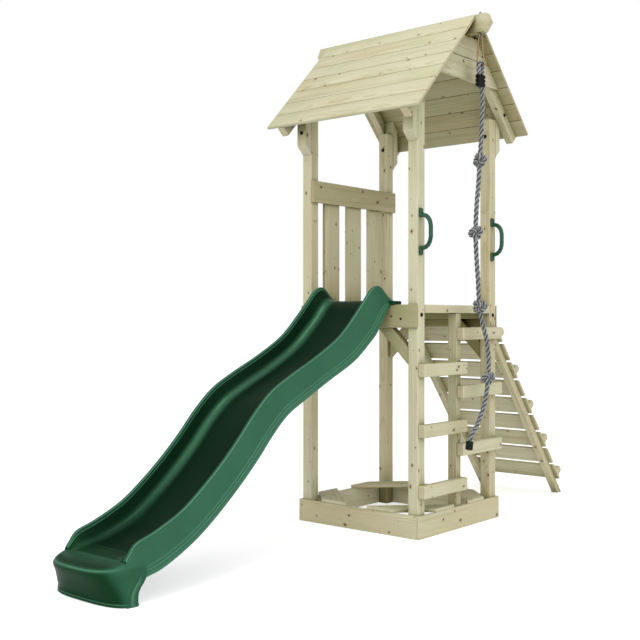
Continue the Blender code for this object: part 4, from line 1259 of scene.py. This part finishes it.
def slide_channel_mesh():
    """The skin of the channel, lofted through its sections."""
    stations = [
        Vector((x, z, math.radians(lean), depth, height))
        for x, z, lean, depth, height in SLIDE_SECTIONS
    ]
    work = bmesh.new()
    marks = {}
    grid = []
    for station in smooth_line(stations, SECTION_STEPS):
        half, edges, channel_shades = slide_section(*station)
        row = [(-side, x, z) for side, x, z in half] + half[-2::-1]
        points = [work.verts.new(shared((x, WIDTH / 2 + side, z))) for side, x, z in row]
        # The fillet's painted highlight fades towards the foot
        fading = 1 - (1 - HIGHLIGHT_STREAK_LEFT) * smooth_share(-station[0], *HIGHLIGHT_STREAK_FADES)
        for point, edge, channel_shade in zip(points, edges + edges[-2::-1], channel_shades + channel_shades[-2::-1]):
            marks[point] = (channel_shade, edge * (fading if channel_shade == 1.0 else 1.0))
        grid.append(points)
    loft(work, grid)
    bmesh.ops.recalc_face_normals(work, faces=work.faces)
    mark_corners(work, marks)
    return mesh_from("slide_skin", work)


def foot_ring(reach, half, back, band_share, front_highlight):
    """Half of a ring of the foot, from its back to the middle of its front, as (x, side, share of
    the way to the front, painted shade, painted highlight)."""
    power = 2 / FOOT_SQUARENESS
    outline = [(ahead, 1.0) for ahead in FOOT_SIDE]
    start = math.acos((FOOT_SIDE[-1] / reach) ** (1 / power))
    for index in range(1, FOOT_POINTS + 1):
        angle = start * (1 - index / FOOT_POINTS)
        outline.append((reach * math.cos(angle) ** power, math.sin(angle) ** power))
    ring = []
    for place, (ahead, share) in enumerate(outline):
        band = FOOT_BAND * band_share * smooth_share(ahead, *FOOT_BAND_STEP)
        front = (ahead / reach) ** 2 / reach
        aside = share**2 / half
        # Painted shade and painted highlight: full on the front, weaker on the sides
        facing = smooth_share(aside / math.hypot(front, aside), *FOOT_TURN)
        channel_shade = 1 - (1 - FOOT_SIDE_SHADE) * facing
        on_step = FOOT_BAND_STEP[0] <= ahead < FOOT_BAND_STEP[1]
        band_highlight = FOOT_BAND_HIGHLIGHT * band_share if on_step or place == 0 else 0.0
        highlight = max(band_highlight, front_highlight * (1 - (1 - FOOT_SIDE_HIGHLIGHT) * facing))
        ring.append((back - ahead, share * (half - band), ahead / reach, channel_shade, highlight))
    return ring


def slide_foot_mesh():
    """The foot under the slide's end, lofted from the ground up to the landing."""
    work = bmesh.new()
    marks = {}
    rings = []
    for front_z, back_z, reach, half, highlight in FOOT_RINGS:
        heel = FOOT_HEEL * smooth_share(back_z, *FOOT_HEEL_RISE) ** FOOT_HEEL_BEND
        back = FOOT_GROUND_BACK + heel
        band_share = 1 - smooth_share(back_z, *FOOT_BAND_TOP)
        right = foot_ring(reach + back - FOOT_BACK, half, back, band_share, highlight)
        both = [(-1, point) for point in right] + [(1, point) for point in right[-2::-1]]
        ring = []
        for sign, (x, side, ahead, *mark) in both:
            z = back_z + (front_z - back_z) * ahead
            point = work.verts.new(shared((x, WIDTH / 2 + sign * side, z)))
            marks[point] = mark
            ring.append(point)
        rings.append(ring)
    loft(work, [ring + ring[:1] for ring in rings])
    work.faces.new(rings[0])
    work.faces.new(rings[-1])
    bmesh.ops.recalc_face_normals(work, faces=work.faces)
    mark_corners(work, marks)
    return mesh_from("slide_foot", work)


def lip_mesh():
    """The lip that lies on the platform."""
    low = shared((LIP_FRONT, WIDTH / 2 - LIP_HALF, DECK_TOP + GAP))
    high = shared((LIP_BACK, WIDTH / 2 + LIP_HALF, LIP_TOP))
    work = bmesh.new()
    bmesh.ops.create_cube(work, size=1.0)
    bmesh.ops.scale(work, verts=work.verts, vec=high - low)
    bmesh.ops.bevel(work, geom=list(work.edges), offset=LIP_ROUND, segments=3, affect="EDGES")
    bmesh.ops.translate(work, verts=work.verts, vec=(high + low) / 2)
    mark_corners(work, {})
    return mesh_from("slide_lip", work)


def make_slide():
    """The slide with finer rounding than the solid model: the skin, its foot and its lip in one."""
    slide = new_object("slide_shell", slide_channel_mesh())
    skin = slide.modifiers.new("skin", "SOLIDIFY")
    skin.thickness = SKIN
    skin.offset = -1.0
    skin.use_even_offset = True
    others = [new_object("slide_foot", slide_foot_mesh()), new_object("slide_lip", lip_mesh())]
    for other in others:
        join = slide.modifiers.new(f"with_{other.name}", "BOOLEAN")
        join.operation = "UNION"
        join.solver = "EXACT"
        join.object = other
    bpy.context.view_layer.update()
    made = slide.evaluated_get(bpy.context.evaluated_depsgraph_get())
    mesh = bpy.data.meshes.new_from_object(made)
    slide.modifiers.clear()
    slide.data = mesh
    for other in others:
        bpy.data.objects.remove(other)
    dress(slide, SLIDE_GREEN, SHARP)
    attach(slide, "tower")
    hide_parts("slide")


# Fittings

FITTINGS = {
    "handle_slide_post": GRIP_GREEN,
    "handle_ramp_post": GRIP_GREEN,
    "end_cap": BLACK,
    "spring_link": BRASS,
    "eye_bolt": ZINC,
}
# Radius and height of each ring of the round pieces
CAP_PROFILE = (
    (0.0104, 0.0),
    (0.0104, 0.0024),
    (0.0094, 0.0040),
    (0.0062, 0.0052),
    (0.0018, 0.0057),
)
BOSS_PROFILE = (
    (0.0105, 0.0),
    (0.0105, 0.0085),
    (0.0092, 0.0125),
    (0.0060, 0.0150),
    (0.0020, 0.0158),
)
PLUG_PROFILE = ((0.0062, 0.0), (0.0062, 0.0012), (0.0052, 0.0022), (0.0012, 0.0026))
ROUND_SIDES = 20
# Places of the bolts, and how far the faces that they sit on are from the posts' outer faces
CLEAT_BOLT = 2.156
RAFTER_BOLT = 2.280
RAIL_BOLT = 1.147
BEAM_BOLT = 1.126
BEAM_BOLT_Y = 0.098
BEAM_OUT = 0.0143
CLEAT_OUT = 0.0453
RAFTER_OUT = 0.0433
RAFTER_BOLT_OUT = 0.0225
HANDLE_MIDDLE = DECK_TOP + 0.372
HANDLE_OFF = 0.018
BOSS_HEIGHTS = (-0.1092, -0.0862, 0.0862, 0.1092)


def dress_fittings():
    for name, material in FITTINGS.items():
        dress(NODES[name], material, SHARP)


def turned(name, profile, spots, axis, material):
    """One mesh of round pieces with this profile of radius and height, one at each spot."""
    turn = Z_AXIS.rotation_difference(axis).to_matrix()
    verts, faces = [], []
    for spot in spots:
        faces += tube_faces(len(verts), len(profile), ROUND_SIDES)
        for radius, height in profile:
            for corner in range(ROUND_SIDES):
                angle = math.tau * corner / ROUND_SIDES
                point = Vector((radius * math.cos(angle), radius * math.sin(angle), height))
                verts.append(shared(spot) + turn @ point)
    obj = new_object(name, mesh_of(name, verts, faces))
    dress(obj, material, SHARP)
    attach(obj, "tower")


def make_caps():
    """Black caps over the bolts, and the two rounded bosses on each foot of the grips."""
    far = LENGTH - POST
    posts_x = (POST / 2, far + POST / 2)
    posts_y = (POST / 2, WIDTH - POST / 2)
    beams_y = (BEAM_BOLT_Y, WIDTH - BEAM_BOLT_Y)
    rafters_x = (-RAFTER_BOLT_OUT, LENGTH + RAFTER_BOLT_OUT)
    grips_x = (HANDLE_OFF, far + HANDLE_OFF)
    rail = [(x, 0.0, RAIL_BOLT) for x in posts_x]
    cleat = [(-CLEAT_OUT, posts_y[1], CLEAT_BOLT)] + [(far, y, CLEAT_BOLT) for y in posts_y]
    beam = [(-BEAM_OUT, y, BEAM_BOLT) for y in beams_y]
    cleat_back = [(x, y, CLEAT_BOLT) for x in (POST, LENGTH + CLEAT_OUT) for y in posts_y]
    rafter = [(x, -RAFTER_OUT, RAFTER_BOLT) for x in rafters_x]
    rafter_back = [(x, WIDTH + RAFTER_OUT, RAFTER_BOLT) for x in rafters_x]
    bosses = [(x, 0.0, HANDLE_MIDDLE + rise) for x in grips_x for rise in BOSS_HEIGHTS]
    turned("caps_beam", CAP_PROFILE, rail, -Y_AXIS, BLACK)
    turned("caps_cleat", CAP_PROFILE, cleat, -X_AXIS, BLACK)
    turned("plugs_beam", PLUG_PROFILE, beam, -X_AXIS, BLACK)
    turned("caps_cleat_back", CAP_PROFILE, cleat_back, X_AXIS, BLACK)
    turned("caps_rafter", CAP_PROFILE, rafter, -Y_AXIS, BLACK)
    turned("caps_rafter_back", CAP_PROFILE, rafter_back, Y_AXIS, BLACK)
    turned("grip_bosses", BOSS_PROFILE, bosses, -Y_AXIS, GRIP_GREEN)


make_camera()
make_stage()
make_world()
make_lights()
make_rope()
dress_timber()
make_infills()
dress_fittings()
make_slide()
make_deck()
make_balustrade()
make_cladding()
make_caps()
